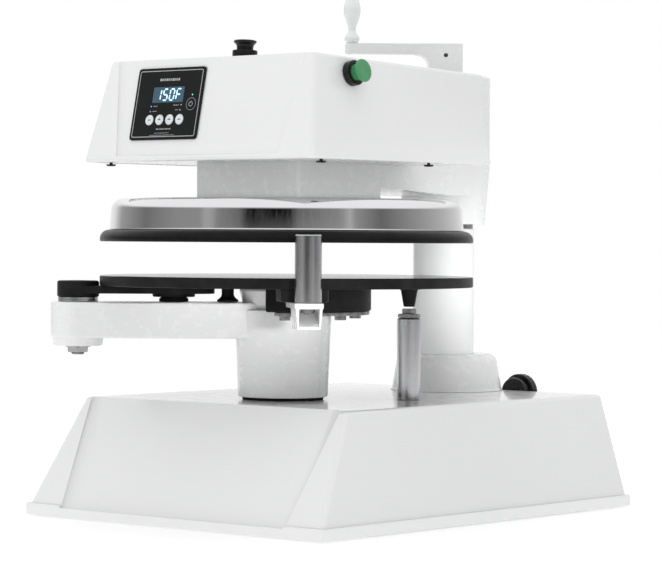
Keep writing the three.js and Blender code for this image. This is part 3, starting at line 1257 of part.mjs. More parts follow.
// Hub, arm and the spindle that the grip turns on, all cast and machined as one.
function crankArm() {
  const plan = new THREE.Shape();
  const hub = CRANK_HUB_LENGTH / 2;
  plan.moveTo(-hub, -CRANK_HUB_WIDTH / 2);
  plan.lineTo(hub, -CRANK_HUB_WIDTH / 2);
  plan.lineTo(hub + CRANK_FLARE, -CRANK_ARM_HALF);
  plan.absarc(CRANK_LENGTH, 0, CRANK_ARM_HALF + 1, -Math.PI / 2, Math.PI / 2, false);
  plan.lineTo(hub + CRANK_FLARE, CRANK_ARM_HALF);
  plan.lineTo(hub, CRANK_HUB_WIDTH / 2);
  plan.lineTo(-hub, CRANK_HUB_WIDTH / 2);
  plan.closePath();
  const side = new THREE.ExtrudeGeometry(crankProfile(), { depth: CRANK_HUB_WIDTH + 2, bevelEnabled: false });
  side.translate(0, 0, -CRANK_HUB_WIDTH / 2 - 1);
  side.rotateX(Math.PI / 2);
  const end = disc(CRANK_ARM_HALF + 1, CRANK_LOW, CRANK_TOP, CRANK_LENGTH, 0, COARSE);
  let body = solid(side).intersect(prism(plan, HUB_LOW, CRANK_TOP)).add(end);
  body = body.add(disc(SPINDLE_RADIUS, CRANK_TOP - 1, CRANK_TOP + GRIP_LENGTH - 8, CRANK_LENGTH, 0, 16));
  body = body.subtract(disc(SCREW_RADIUS + SEAT, HUB_LOW - 1, CRANK_TOP - 6, 0, 0, COARSE));
  const hole = along('y', disc(CRANK_SET_HOLE, -CRANK_HUB_WIDTH, 0, 0, 0, 12), 0, 0, CRANK_TOP - 15);
  const mirror = new THREE.Matrix4().makeRotationZ(Math.PI);
  body = body.subtract(moved(hole, mirror));
  const place = new THREE.Matrix4().makeRotationZ(THREE.MathUtils.degToRad(CRANK_ANGLE));
  return moved(body, place.setPosition(0, COLUMN_Y, 0));
}

function crankGrip() {
  const place = polar(CRANK_LENGTH, CRANK_ANGLE);
  const low = CRANK_TOP + SEAT;
  const bore = SPINDLE_RADIUS + RUN;
  const outline = [
    [7.5, 0], [10.2, 3], [10.6, 6], [9.6, 9], [5.6, 13.5], [5.1, 16], [5.6, 20], [9.2, 30], [11.4, 38],
    [12, 43], [11.3, 49], [8.4, 57], [6.8, 62], [4.5, GRIP_LENGTH - 2], [0, GRIP_LENGTH],
  ];
  const profile = [[0, low + GRIP_LENGTH - 6], [bore, low + GRIP_LENGTH - 6], [bore, low]];
  for (const [r, z] of outline) profile.push([r, low + z]);
  return turned(profile, place.x, COLUMN_Y + place.y, COARSE);
}

function leadScrew() {
  const top = CRANK_TOP - 7;
  const flange = CLAMP_TOP_Z + SEAT;
  const low = top - SCREW_LENGTH;
  return turned([
    [0, low], [SCREW_RADIUS - 1, low], [SCREW_RADIUS, low + 1], [SCREW_RADIUS, flange], [14, flange],
    [14, HUB_LOW - SEAT], [SCREW_RADIUS, HUB_LOW - SEAT], [SCREW_RADIUS, top], [0, top],
  ], 0, COLUMN_Y, COARSE);
}

part('crank_arm', crankArm(), 'white');
part('crank_grip', crankGrip(), 'white');
part('lead_screw', leadScrew(), 'steel');

// ---- air regulator and cord gland on the back of the base ----
const REGULATOR_Z = BASE_HEIGHT - REGULATOR_DROP;
const REGULATOR_Y = BASE_BACK + 0.5;
const KNOB_Y = REGULATOR_Y + REGULATOR_LENGTH + SEAT;

function airRegulator() {
  const nippleZ = BASE_HEIGHT - NIPPLE_DROP;
  const wall = rearFaceY(nippleZ);
  const half = REGULATOR_BLOCK_HALF;
  const edge = 2;
  const drum = turned([
    [0, 0], [REGULATOR_RADIUS - edge, 0], [REGULATOR_RADIUS, edge], [REGULATOR_RADIUS, REGULATOR_LENGTH],
    [5, REGULATOR_LENGTH], [5, REGULATOR_LENGTH + 8], [0, REGULATOR_LENGTH + 8],
  ]);
  let body = along('y', drum, REGULATOR_X, REGULATOR_Y, REGULATOR_Z);
  const low = nippleZ - half;
  body = body.add(block(REGULATOR_X - half, REGULATOR_X + half, REGULATOR_Y, REGULATOR_Y + REGULATOR_LENGTH, low, REGULATOR_Z));
  const nipple = disc(NIPPLE_RADIUS, wall - 12 - REGULATOR_Y, 2, 0, 0, COARSE);
  return body.add(along('y', nipple, REGULATOR_X, REGULATOR_Y, nippleZ));
}

function regulatorKnob() {
  const knob = turned([
    [5 + RUN, 0], [KNOB_RADIUS - 1, 0], [KNOB_RADIUS, 1], [KNOB_RADIUS, KNOB_LENGTH - 3], [KNOB_RADIUS - 3, KNOB_LENGTH],
    [0, KNOB_LENGTH], [0, 9], [5 + RUN, 9], [5 + RUN, 0],
  ]);
  return along('y', knob, REGULATOR_X, KNOB_Y, REGULATOR_Z);
}

function cordGland() {
  const gland = turned([
    [4, -14], [GLAND_RADIUS - 2, -14], [GLAND_RADIUS - 2, SEAT], [GLAND_RADIUS, SEAT], [GLAND_RADIUS, 8],
    [GLAND_RADIUS - 3, 16], [4, 16], [4, -14],
  ], 0, 0, COARSE);
  return moved(gland, glandPlace());
}

part('air_regulator', airRegulator(), 'plastic');
part('regulator_knob', regulatorKnob(), 'plastic');
part('cord_gland', cordGland(), 'plastic');

export default press;
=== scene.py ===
import json
import math

import bpy
from mathutils import Matrix, Vector


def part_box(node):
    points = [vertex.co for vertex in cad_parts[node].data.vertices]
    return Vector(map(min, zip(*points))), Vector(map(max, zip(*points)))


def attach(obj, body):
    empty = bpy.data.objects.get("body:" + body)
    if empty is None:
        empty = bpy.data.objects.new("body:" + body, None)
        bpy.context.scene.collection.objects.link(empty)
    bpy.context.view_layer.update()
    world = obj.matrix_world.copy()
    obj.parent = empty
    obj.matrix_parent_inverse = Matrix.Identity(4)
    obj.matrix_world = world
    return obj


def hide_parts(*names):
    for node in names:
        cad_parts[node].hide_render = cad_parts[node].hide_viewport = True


bl_info = {
    "name": "Dough press",
    "version": (1, 0, 0),
    "blender": (4, 5, 0),
    "location": "View3D > Sidebar > Dough press",
    "description": "Builds the visible pieces and finishes of an air-operated dough press on its fixed frame",
    "category": "Add Mesh",
}

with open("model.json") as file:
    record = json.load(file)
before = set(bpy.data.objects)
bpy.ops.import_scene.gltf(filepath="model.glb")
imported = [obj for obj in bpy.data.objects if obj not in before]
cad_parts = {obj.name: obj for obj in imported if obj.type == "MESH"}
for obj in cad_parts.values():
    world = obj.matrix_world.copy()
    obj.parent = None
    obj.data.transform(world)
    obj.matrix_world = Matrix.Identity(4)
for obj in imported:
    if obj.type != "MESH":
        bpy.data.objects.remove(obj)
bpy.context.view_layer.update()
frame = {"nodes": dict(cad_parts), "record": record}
MM = 0.001
EDIT = "EDIT"
OBJECT = "OBJECT"


# ---------------------------------------------------------------- measures taken from the frame
def span(node):
    """Lowest and highest corner of a frame node in millimetres."""
    low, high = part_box(node)
    return low / MM, high / MM


def middle(node):
    low, high = span(node)
    return (low + high) / 2


def round_span(node):
    """Lowest and highest corner of an upright round node, its centre and its radius."""
    low, high = span(node)
    return low, high, (low + high) / 2, (high.x - low.x) / 2


def polar(reach, degrees):
    angle = math.radians(degrees)
    return Vector((reach * math.cos(angle), reach * math.sin(angle), 0))


BASE_LOW, BASE_HIGH = span("base_housing")
HEAD_LOW, HEAD_HIGH = span("head_cover")
LOWER_LOW, LOWER_HIGH = span("lower_platen")
UPPER_LOW, UPPER_HIGH = span("upper_platen")
COVER_LOW, COVER_HIGH = span("platen_cover")
COLUMN = middle("column_tube")
PIVOT = middle("pivot_washer")
POST = middle("support_post")
HANDLE = middle("platen_handle")
ARM_LOW, ARM_HIGH = span("support_arm")
PLATEN_RADIUS = UPPER_HIGH.x
PLATEN_THICK = 12.7
PLATEN_BOTTOM = LOWER_HIGH.z - PLATEN_THICK
ARM_TOP = span("pivot_washer")[0].z - 0.3
HANDLE_ANGLE = math.degrees(math.atan2(HANDLE.y, HANDLE.x))
PIVOT_ANGLE = math.degrees(math.atan2(PIVOT.y, PIVOT.x))

ARM_DEPTH = 43.8
ARM_END_DROP = 9.7
BOSS_LEDGE = 28
PIVOT_BORE = 12.3
FLANGE_HEIGHT = 14.1
FLANGE_LIP = 4.4
BASE_RUNS = {"front": 71.4, "side": 24.9, "rear": 22.9}
HEAD_HALF = 185.0
HEAD_FRONT_RUN = 26.8
HEAD_SIDE_RUN = 21.7
HEAD_FRONT_HEIGHT = 125.0
HEAD_REAR_HEIGHT = 112.0
HEAD_PANEL_DEPTH = 5.0
# Plain strip beside each sunk panel, at its foot and at its top.
BASE_PANEL_BORDERS = (55.6, 9.7)
HEAD_PANEL_BORDERS = (54.5, 12.3)


def leaning_face(y, z, run, rise):
    """The frame of a front wall that leans back: X across, Y up the wall, Z out of it."""
    lean = math.atan2(run, rise)
    return Matrix.Translation(Vector((0, y, z)) * MM) @ Matrix.Rotation(math.pi / 2 - lean, 4, "X")


BASE_FACE = leaning_face(
    BASE_LOW.y + FLANGE_LIP, FLANGE_HEIGHT, BASE_RUNS["front"], BASE_HIGH.z - FLANGE_HEIGHT
)
HEAD_FACE = leaning_face(HEAD_LOW.y, HEAD_LOW.z, HEAD_FRONT_RUN, HEAD_FRONT_HEIGHT)


# ---------------------------------------------------------------- working in object and edit mode
def nothing_selected():
    active = bpy.context.view_layer.objects.active
    if active is not None and active.mode != OBJECT:
        bpy.ops.object.mode_set(mode=OBJECT)
    bpy.ops.object.select_all(action="DESELECT")


def work_on(piece, mode=OBJECT):
    nothing_selected()
    bpy.context.view_layer.objects.active = piece
    piece.select_set(True)
    if mode == EDIT:
        bpy.ops.object.mode_set(mode=EDIT)
        bpy.ops.mesh.select_mode(type="VERT")
        bpy.ops.mesh.select_all(action="SELECT")


def named(piece, name):
    piece.name = name
    piece.data.name = name
    return piece


def first_point(name, place):
    """A piece with one selected point, left in edit mode, ready to be drawn out."""
    nothing_selected()
    bpy.ops.mesh.primitive_plane_add(size=MM, location=Vector(place) * MM)
    piece = named(bpy.context.object, name)
    bpy.ops.object.transform_apply(location=True, rotation=True, scale=True)
    bpy.ops.object.mode_set(mode=EDIT)
    bpy.ops.mesh.select_mode(type="VERT")
    bpy.ops.mesh.select_all(action="SELECT")
    bpy.ops.mesh.merge(type="CENTER")
    return piece


def draw_on(points):
    """Extrudes the selected point along the given points, in millimetres."""
    here = Vector(points[0])
    for point in points[1:]:
        there = Vector(point)
        bpy.ops.mesh.extrude_region_move(TRANSFORM_OT_translate={"value": (there - here) * MM})
        here = there


def close_up(piece, merge=0.001):
    """Merges doubles, turns the faces outwards and goes back to object mode."""
    bpy.ops.mesh.select_all(action="SELECT")
    bpy.ops.mesh.remove_doubles(threshold=merge * MM)
    bpy.ops.mesh.normals_make_consistent(inside=False)
    bpy.ops.object.mode_set(mode=OBJECT)
    return piece


def turned(name, centre, profile, steps=96):
    """Spins a profile of (radius, height) pairs about an upright axis through centre."""
    x, y = centre[0], centre[1]
    points = [(x + r, y, z) for r, z in profile]
    piece = first_point(name, points[0])
    draw_on(points)
    bpy.ops.mesh.select_all(action="SELECT")
    bpy.ops.mesh.spin(
        steps=steps, angle=2 * math.pi, dupli=False, use_auto_merge=True,
        center=Vector((x, y, 0)) * MM, axis=(0, 0, 1),
    )
    return close_up(piece)


def drill(place, radius, low, high, steps=48):
    """A plain round tool for cutting a hole."""
    return turned("hole", place, [(0, low), (radius, low), (radius, high), (0, high)], steps)


def drawn_face(name, outline, z):
    """A flat face with the given outline, left in edit mode with the face selected."""
    points = [(x, y, z) for x, y in outline]
    piece = first_point(name, points[0])
    draw_on(points + points[:1])
    bpy.ops.mesh.select_all(action="SELECT")
    bpy.ops.mesh.remove_doubles(threshold=0.001 * MM)
    bpy.ops.mesh.edge_face_add()
    return piece


def raised(name, outline, low, high):
    """A slab with the given outline between two heights."""
    piece = drawn_face(name, outline, low)
    bpy.ops.mesh.extrude_region_move(TRANSFORM_OT_translate={"value": (0, 0, (high - low) * MM)})
    return close_up(piece)


def laid(piece, matrix):
    """Puts a piece at a place and leaves its object at the origin."""
    work_on(piece)
    piece.matrix_world = matrix @ piece.matrix_world
    bpy.ops.object.transform_apply(location=True, rotation=True, scale=True)
    return piece


def swung(piece, degrees, x=0.0, y=0.0):
    return laid(
        piece, Matrix.Translation(Vector((x, y, 0)) * MM) @ Matrix.Rotation(math.radians(degrees), 4, "Z")
    )


def modified(piece, kind, **settings):
    """Adds a modifier with its settings and applies it."""
    work_on(piece)
    modifier = piece.modifiers.new(kind.title(), kind)
    for key, value in settings.items():
        setattr(modifier, key, value)
    bpy.ops.object.modifier_apply(modifier=modifier.name)
    return piece


def eased(piece, width, segments=3, angle=30.0):
    """Rounds every edge sharper than the angle."""
    return modified(
        piece, "BEVEL", width=width * MM, segments=segments, limit_method="ANGLE",
        angle_limit=math.radians(angle), use_clamp_overlap=True, miter_outer="MITER_ARC",
    )


def cut(piece, *cutters):
    for cutter in cutters:
        modified(piece, "BOOLEAN", operation="DIFFERENCE", object=cutter, solver="EXACT")
        bpy.data.objects.remove(cutter)
    return piece


def grown(piece, *others):
    for other in others:
        modified(piece, "BOOLEAN", operation="UNION", object=other, solver="EXACT")
        bpy.data.objects.remove(other)
    return piece


def joined(name, pieces):
    """One object from pieces that need no boolean between them."""
    nothing_selected()
    for piece in pieces:
        piece.select_set(True)
    bpy.context.view_layer.objects.active = pieces[0]
    bpy.ops.object.join()
    return named(bpy.context.object, name)


def smooth(piece, angle=35.0, weighted=True):
    work_on(piece)
    bpy.ops.object.shade_smooth_by_angle(angle=math.radians(angle))
    if weighted:
        modified(piece, "WEIGHTED_NORMAL", keep_sharp=True, weight=70)
    return piece


def copied_node(name, node):
    """A welded copy of a frame node, with its flat faces joined up again."""
    double = bpy.data.objects.new(name, frame["nodes"][node].data.copy())
    bpy.context.scene.collection.objects.link(double)
    double.data.name = name
    double.data.materials.clear()
    work_on(double, EDIT)
    bpy.ops.mesh.customdata_custom_splitnormals_clear()
    bpy.ops.mesh.remove_doubles(threshold=0.002 * MM)
    bpy.ops.mesh.dissolve_limited(angle_limit=math.radians(0.6))
    bpy.ops.object.mode_set(mode=OBJECT)
    return double


def painted(piece, finish):
    piece.data.materials.clear()
    piece.data.materials.append(FINISHES[finish])
    return piece


def paint_where(piece, finish, wanted):
    """Gives the faces that pass a test their own finish."""
    piece.data.materials.append(FINISHES[finish])
    index = len(piece.data.materials) - 1
    for face in piece.data.polygons:
        if wanted(face.center / MM, face.normal):
            face.material_index = index
    return piece


def placed(piece, body, slot, *nodes):
    """Hands a finished piece to its body and lets it stand for its frame nodes."""
    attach(piece, body)
    if nodes:
        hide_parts(*nodes)
    return piece


def finished(piece, finish, angle, body, slot, *nodes):
    """Smooths and paints a piece and hands it over."""
    painted(smooth(piece, angle), finish)
    return placed(piece, body, slot, *nodes)


# ---------------------------------------------------------------- outlines
def arc(centre, radius, start, end, steps):
    angles = [math.radians(start + (end - start) * i / steps) for i in range(steps + 1)]
    return [(centre[0] + radius * math.cos(a), centre[1] + radius * math.sin(a)) for a in angles]


def rounded_outline(x0, x1, y0, y1, radius, steps=8):
    corners = [(x1 - radius, y0 + radius, -90), (x1 - radius, y1 - radius, 0),
               (x0 + radius, y1 - radius, 90), (x0 + radius, y0 + radius, 180)]
    return [p for x, y, a in corners for p in arc((x, y), radius, a, a + 90, steps)]


def link_outline(radius0, radius1, length, steps=32):
    angle = math.degrees(math.acos((radius0 - radius1) / length))
    return arc((0, 0), radius0, angle, 360 - angle, steps) + arc((length, 0), radius1, -angle, angle, steps)


def sector_outline(inner, outer, start, end, steps=40):
    return arc((0, 0), outer, start, end, steps) + arc((0, 0), inner, end, start, steps)


def hexagon_outline(across, x, y, turn=0.0):
    radius = across / math.sqrt(3)
    angles = [math.radians(60 * i + turn) for i in range(6)]
    return [(x + radius * math.cos(angle), y + radius * math.sin(angle)) for angle in angles]


# ---------------------------------------------------------------- finishes
FINISHES = {}


SOCKETS = {
    "coat": "Coat Weight",
    "coat_roughness": "Coat Roughness",
    "specular": "Specular IOR Level",
    "anisotropic": "Anisotropic",
    "subsurface": "Subsurface Weight",
}


class NodeBench:
    """Wires one material; every pattern on it reads Object coordinates."""

    def __init__(self, name, colour, roughness, metallic=0.0, **sockets):
        self.material = bpy.data.materials.new(name)
        self.material.use_nodes = True
        self.tree = self.material.node_tree
        self.shader = self.tree.nodes["Principled BSDF"]
        self.coordinates = self.tree.nodes.new("ShaderNodeTexCoord")
        self.set("Base Color", (*colour, 1.0))
        self.set("Roughness", roughness)
        self.set("Metallic", metallic)
        for key, value in sockets.items():
            self.set(SOCKETS[key], value)
        self.material.diffuse_color = (*colour, 1.0)
        FINISHES[name] = self.material

    def set(self, socket, value):
        self.shader.inputs[socket].default_value = value

    def link(self, output, target):
        self.tree.links.new(output, target)

    def mapped(self, stretch):
        mapping = self.tree.nodes.new("ShaderNodeMapping")
        mapping.inputs["Scale"].default_value = stretch
        self.link(self.coordinates.outputs["Object"], mapping.inputs["Vector"])
        return mapping.outputs["Vector"]

    def noise(self, scale, detail=2.0, roughness=0.5, stretch=(1, 1, 1)):
        node = self.tree.nodes.new("ShaderNodeTexNoise")
        node.inputs["Scale"].default_value = scale
        node.inputs["Detail"].default_value = detail
        node.inputs["Roughness"].default_value = roughness
        self.link(self.mapped(stretch), node.inputs["Vector"])
        return node.outputs["Fac"]

    def rings(self, scale):
        """Fine turning marks: noise of the distance from the upright axis."""
        length = self.tree.nodes.new("ShaderNodeVectorMath")
        length.operation = "LENGTH"
        self.link(self.mapped((1, 1, 0)), length.inputs[0])
        node = self.tree.nodes.new("ShaderNodeTexNoise")
        node.noise_dimensions = "1D"
        node.inputs["Scale"].default_value = scale
        node.inputs["Detail"].default_value = 3.0
        self.link(length.outputs["Value"], node.inputs["W"])
        return node.outputs["Fac"]

    def cells(self, scale):
        node = self.tree.nodes.new("ShaderNodeTexVoronoi")
        node.inputs["Scale"].default_value = scale
        self.link(self.mapped((1, 1, 1)), node.inputs["Vector"])
        return node.outputs["Distance"]

    def vary(self, socket, source, low, high, bottom=0.35, top=0.65):
        node = self.tree.nodes.new("ShaderNodeMapRange")
        node.inputs["From Min"].default_value = bottom
        node.inputs["From Max"].default_value = top
        node.inputs["To Min"].default_value = low
        node.inputs["To Max"].default_value = high
        self.link(source, node.inputs["Value"])
        self.link(node.outputs["Result"], self.shader.inputs[socket])
        return self

    def tint(self, source, dark, light, bottom=0.35, top=0.65):
        node = self.tree.nodes.new("ShaderNodeValToRGB")
        node.color_ramp.elements[0].position = bottom
        node.color_ramp.elements[0].color = (*dark, 1.0)
        node.color_ramp.elements[1].position = top
        node.color_ramp.elements[1].color = (*light, 1.0)
        self.link(source, node.inputs["Fac"])
        self.link(node.outputs["Color"], self.shader.inputs["Base Color"])
        return self

    def relief(self, source, strength, depth):
        """Adds a bump of the given depth in millimetres on top of any earlier one."""
        node = self.tree.nodes.new("ShaderNodeBump")
        node.inputs["Strength"].default_value = strength
        node.inputs["Distance"].default_value = depth * MM
        self.link(source, node.inputs["Height"])
        normal = self.shader.inputs["Normal"]
        if normal.is_linked:
            self.link(normal.links[0].from_socket, node.inputs["Normal"])
        self.link(node.outputs["Normal"], normal)
        return self


def shade(colour, factor):
    return tuple(max(0.0, min(1.0, c * factor)) for c in colour)


def make_finishes(paint):
    white = tuple(paint.paint_colour)
    black = tuple(paint.coating_colour)
    green = tuple(paint.start_colour)

    enamel = NodeBench("white_enamel", white, 0.2, coat=0.5, coat_roughness=0.06)
    enamel.tint(enamel.noise(3.0, 3.0), shade(white, 0.985), shade(white, 1.005))
    enamel.vary("Roughness", enamel.noise(60.0, 4.0), 0.17, 0.25)
    enamel.relief(enamel.noise(320.0, 2.0), 0.01, 0.01)

    casting = NodeBench("white_casting", shade(white, 0.985), 0.3, coat=0.4, coat_roughness=0.08)
    casting.tint(casting.noise(8.0, 1.0), shade(white, 0.985), shade(white, 0.995), 0.2, 0.8)
    casting.vary("Roughness", casting.noise(80.0, 2.0), 0.25, 0.28)

    coating = NodeBench("black_coating", black, 0.5, specular=0.16)
    coating.tint(coating.noise(40.0, 4.0), shade(black, 0.6), shade(black, 1.3))
    coating.vary("Roughness", coating.noise(900.0, 3.0), 0.38, 0.6)
    coating.relief(coating.noise(240.0, 4.0, 0.6, (1, 1, 2.2)), 0.5, 0.35)
    coating.relief(coating.cells(1500.0), 0.2, 0.08)

    working = NodeBench("working_face", shade(black, 1.3), 0.16)
    working.tint(working.noise(14.0, 5.0), shade(black, 1.1), shade(black, 1.7))
    working.vary("Roughness", working.rings(900.0), 0.1, 0.2)
    working.relief(working.rings(1100.0), 0.05, 0.01)

    release = NodeBench("release_coating", shade(black, 0.6), 0.34, specular=0.12)
    release.tint(release.noise(60.0, 3.0), shade(black, 0.4), shade(black, 0.7))
    release.vary("Roughness", release.noise(350.0, 3.0), 0.28, 0.42)
    release.relief(release.noise(1500.0, 2.0), 0.08, 0.02)

    chrome = NodeBench("polished_cover", (0.80, 0.80, 0.81), 0.06, 1.0)
    chrome.tint(chrome.noise(5.0, 2.0), (0.76, 0.76, 0.77), (0.83, 0.83, 0.84))
    chrome.vary("Roughness", chrome.noise(300.0, 3.0, 0.5, (1, 1, 0.15)), 0.04, 0.09)
    chrome.relief(chrome.noise(22.0, 2.0, 0.5, (1, 1, 0.4)), 0.05, 0.22)

    brushed = NodeBench("brushed_steel", (0.56, 0.56, 0.57), 0.3, 1.0, anisotropic=0.45)
    brushed.tint(brushed.noise(3000.0, 2.0, 0.5, (0.02, 0.02, 1)), (0.53, 0.53, 0.54), (0.58, 0.58, 0.59))
    brushed.vary("Roughness", brushed.noise(70.0, 2.0, 0.5, (1, 1, 0.3)), 0.17, 0.20)
    brushed.relief(brushed.noise(3000.0, 2.0, 0.5, (0.02, 0.02, 1)), 0.02, 0.005)

    plated = NodeBench("plated_steel", (0.30, 0.30, 0.31), 0.38, 1.0)
    plated.tint(plated.noise(150.0, 4.0), (0.22, 0.22, 0.23), (0.38, 0.38, 0.38))
    plated.vary("Roughness", plated.noise(400.0, 3.0), 0.3, 0.5)
    plated.relief(plated.noise(900.0, 2.0), 0.08, 0.03)

    alloy = NodeBench("machined_alloy", (0.62, 0.62, 0.63), 0.34, 1.0)
    alloy.tint(alloy.noise(30.0, 4.0), (0.55, 0.55, 0.56), (0.68, 0.68, 0.69))
    alloy.vary("Roughness", alloy.rings(1200.0), 0.26, 0.42)
    alloy.relief(alloy.rings(1200.0), 0.1, 0.03)

    rubber = NodeBench("moulded_rubber", (0.009, 0.0085, 0.0085), 0.75, specular=0.2)
    rubber.tint(rubber.noise(80.0, 4.0), (0.007, 0.0065, 0.0065), (0.012, 0.0115, 0.011))
    rubber.vary("Roughness", rubber.noise(260.0, 3.0), 0.62, 0.85)
    rubber.relief(rubber.noise(1200.0, 3.0), 0.2, 0.06)

    plastic = NodeBench(
        "black_moulding", (0.006, 0.006, 0.0065), 0.3, coat=0.1, coat_roughness=0.12, specular=0.25
    )
    plastic.tint(plastic.noise(50.0, 3.0), (0.005, 0.005, 0.0055), (0.008, 0.008, 0.0085))
    plastic.vary("Roughness", plastic.noise(500.0, 2.0), 0.22, 0.38)
    plastic.relief(plastic.noise(1800.0, 2.0), 0.06, 0.02)

    cap = NodeBench("start_cap", green, 0.34, coat=0.15, coat_roughness=0.2, subsurface=0.05)
    cap.tint(cap.noise(60.0, 3.0), shade(green, 0.9), shade(green, 1.08))
    cap.vary("Roughness", cap.noise(420.0, 3.0), 0.28, 0.42)
    cap.relief(cap.noise(1500.0, 2.0), 0.07, 0.02)

    overlay = NodeBench("panel_overlay", (0.007, 0.0075, 0.008), 0.36, specular=0.14)
    overlay.tint(overlay.noise(35.0, 3.0), (0.006, 0.0065, 0.007), (0.009, 0.0095, 0.010))
    overlay.vary("Roughness", overlay.noise(900.0, 2.0), 0.3, 0.42)
    overlay.relief(overlay.cells(2600.0), 0.12, 0.015)

    print_grey = NodeBench("panel_print", (0.45, 0.46, 0.47), 0.5)
    print_grey.tint(print_grey.noise(300.0, 2.0), (0.40, 0.41, 0.42), (0.50, 0.51, 0.52))

    keys = NodeBench("key_rubber", (0.78, 0.79, 0.80), 0.45, subsurface=0.1)
    keys.tint(keys.noise(120.0, 3.0), (0.74, 0.75, 0.76), (0.82, 0.83, 0.84))
    keys.vary("Roughness", keys.noise(700.0, 2.0), 0.38, 0.52)
    keys.relief(keys.noise(1600.0, 2.0), 0.08, 0.02)

    display = NodeBench("display_window", (0.006, 0.035, 0.06), 0.08, coat=0.3, coat_roughness=0.03)
    display.tint(display.noise(26.0, 2.0), (0.005, 0.028, 0.05), (0.010, 0.045, 0.075))
    display.vary("Roughness", display.noise(400.0, 2.0), 0.06, 0.12)
    display.set("Emission Color", (0.015, 0.10, 0.18, 1.0))
    display.set("Emission Strength", 0.35)

    for name, colour, strength in (
        ("digit_glow", (0.48, 0.76, 1.0), 1.3),
        ("lamp_green", (0.10, 0.85, 0.35), 1.0),
        ("lamp_blue", (0.12, 0.35, 1.0), 0.8),
    ):
        glow = NodeBench(name, colour, 0.3)
        glow.tint(glow.noise(900.0, 2.0), shade(colour, 0.8), colour)
        glow.set("Emission Color", (*colour, 1.0))
        glow.set("Emission Strength", strength)


NODE_FINISHES = {
    "white_paint": "white_enamel",
    "black_coating": "black_coating",
    "upper_platen_coating": "release_coating",
    "polished_cover": "polished_cover",
    "brushed_steel": "brushed_steel",
    "dark_steel": "plated_steel",
    "plate_aluminium": "machined_alloy",
    "black_rubber": "moulded_rubber",
    "black_plastic": "black_moulding",
    "green_plastic": "start_cap",
    "key_rubber": "key_rubber",
    "display_glass": "display_window",
}


# ---------------------------------------------------------------- base
def tapered_body(name, low, high, skin, front_skin, radius, steps=8):
    """A block that leans in like the base walls, moved in from the outer skin."""
    height = BASE_HIGH.z - FLANGE_HEIGHT

    def edges(z):
        t = (z - FLANGE_HEIGHT) / height
        inset = FLANGE_LIP + skin
        return (
            BASE_LOW.x + inset + BASE_RUNS["side"] * t, BASE_HIGH.x - inset - BASE_RUNS["side"] * t,
            BASE_LOW.y + FLANGE_LIP + front_skin + BASE_RUNS["front"] * t,
            BASE_HIGH.y - inset - BASE_RUNS["rear"] * t,
        )

    x0, x1, y0, y1 = edges(low)
    u0, u1, v0, v1 = edges(high)
    piece = drawn_face(name, rounded_outline(x0, x1, y0, y1, radius, steps), low)
    bpy.ops.mesh.extrude_region_move(TRANSFORM_OT_translate={"value": (0, 0, (high - low) * MM)})
    bpy.ops.transform.resize(
        value=((u1 - u0) / (x1 - x0), (v1 - v0) / (y1 - y0), 1),
        center_override=Vector((0, (y0 + y1) / 2, high)) * MM,
    )
    bpy.ops.transform.translate(value=(0, ((v0 + v1) / 2 - (y0 + y1) / 2) * MM, 0))
    return close_up(piece)


def coved_cutter(name, outline, depth, cove, out, steps=8):
    """A tool for a sunk panel: straight above the face and coved down to the panel's floor."""
    piece = drawn_face(name, outline, out)
    bpy.ops.mesh.extrude_region_move(TRANSFORM_OT_translate={"value": (0, 0, -out * MM)})
    for i in range(steps):
        turn, further = (math.radians(90 * k / steps) for k in (i, i + 1))
        inset = cove * (math.cos(turn) - math.cos(further))
        sink = depth * (math.sin(further) - math.sin(turn))
        bpy.ops.mesh.inset(thickness=inset * MM, use_boundary=True, use_even_offset=True)
        bpy.ops.transform.translate(value=(0, 0, -sink * MM))
    return close_up(piece)


# How far a corner plate reaches from its foot, out into the wall and in over the floor.
CORNER_PLATE_OUT = 46
CORNER_PLATE_IN = 26


def corner_plate(foot):
    """The plate inside a corner of the shell that a foot is pressed into."""
    place = middle(foot)
    side, end = math.copysign(1, place.x), math.copysign(1, place.y - (BASE_LOW.y + BASE_HIGH.y) / 2)
    x0, x1 = sorted((place.x + CORNER_PLATE_OUT * side, place.x - CORNER_PLATE_IN * side))
    y0, y1 = sorted((place.y + CORNER_PLATE_OUT * end, place.y - CORNER_PLATE_IN * end))
    plate = raised("plate", rounded_outline(x0, x1, y0, y1, 1, 2), 0.02, 3)
    return cut(plate, drill((place.x, place.y), 4.3, -1, 4, 32))


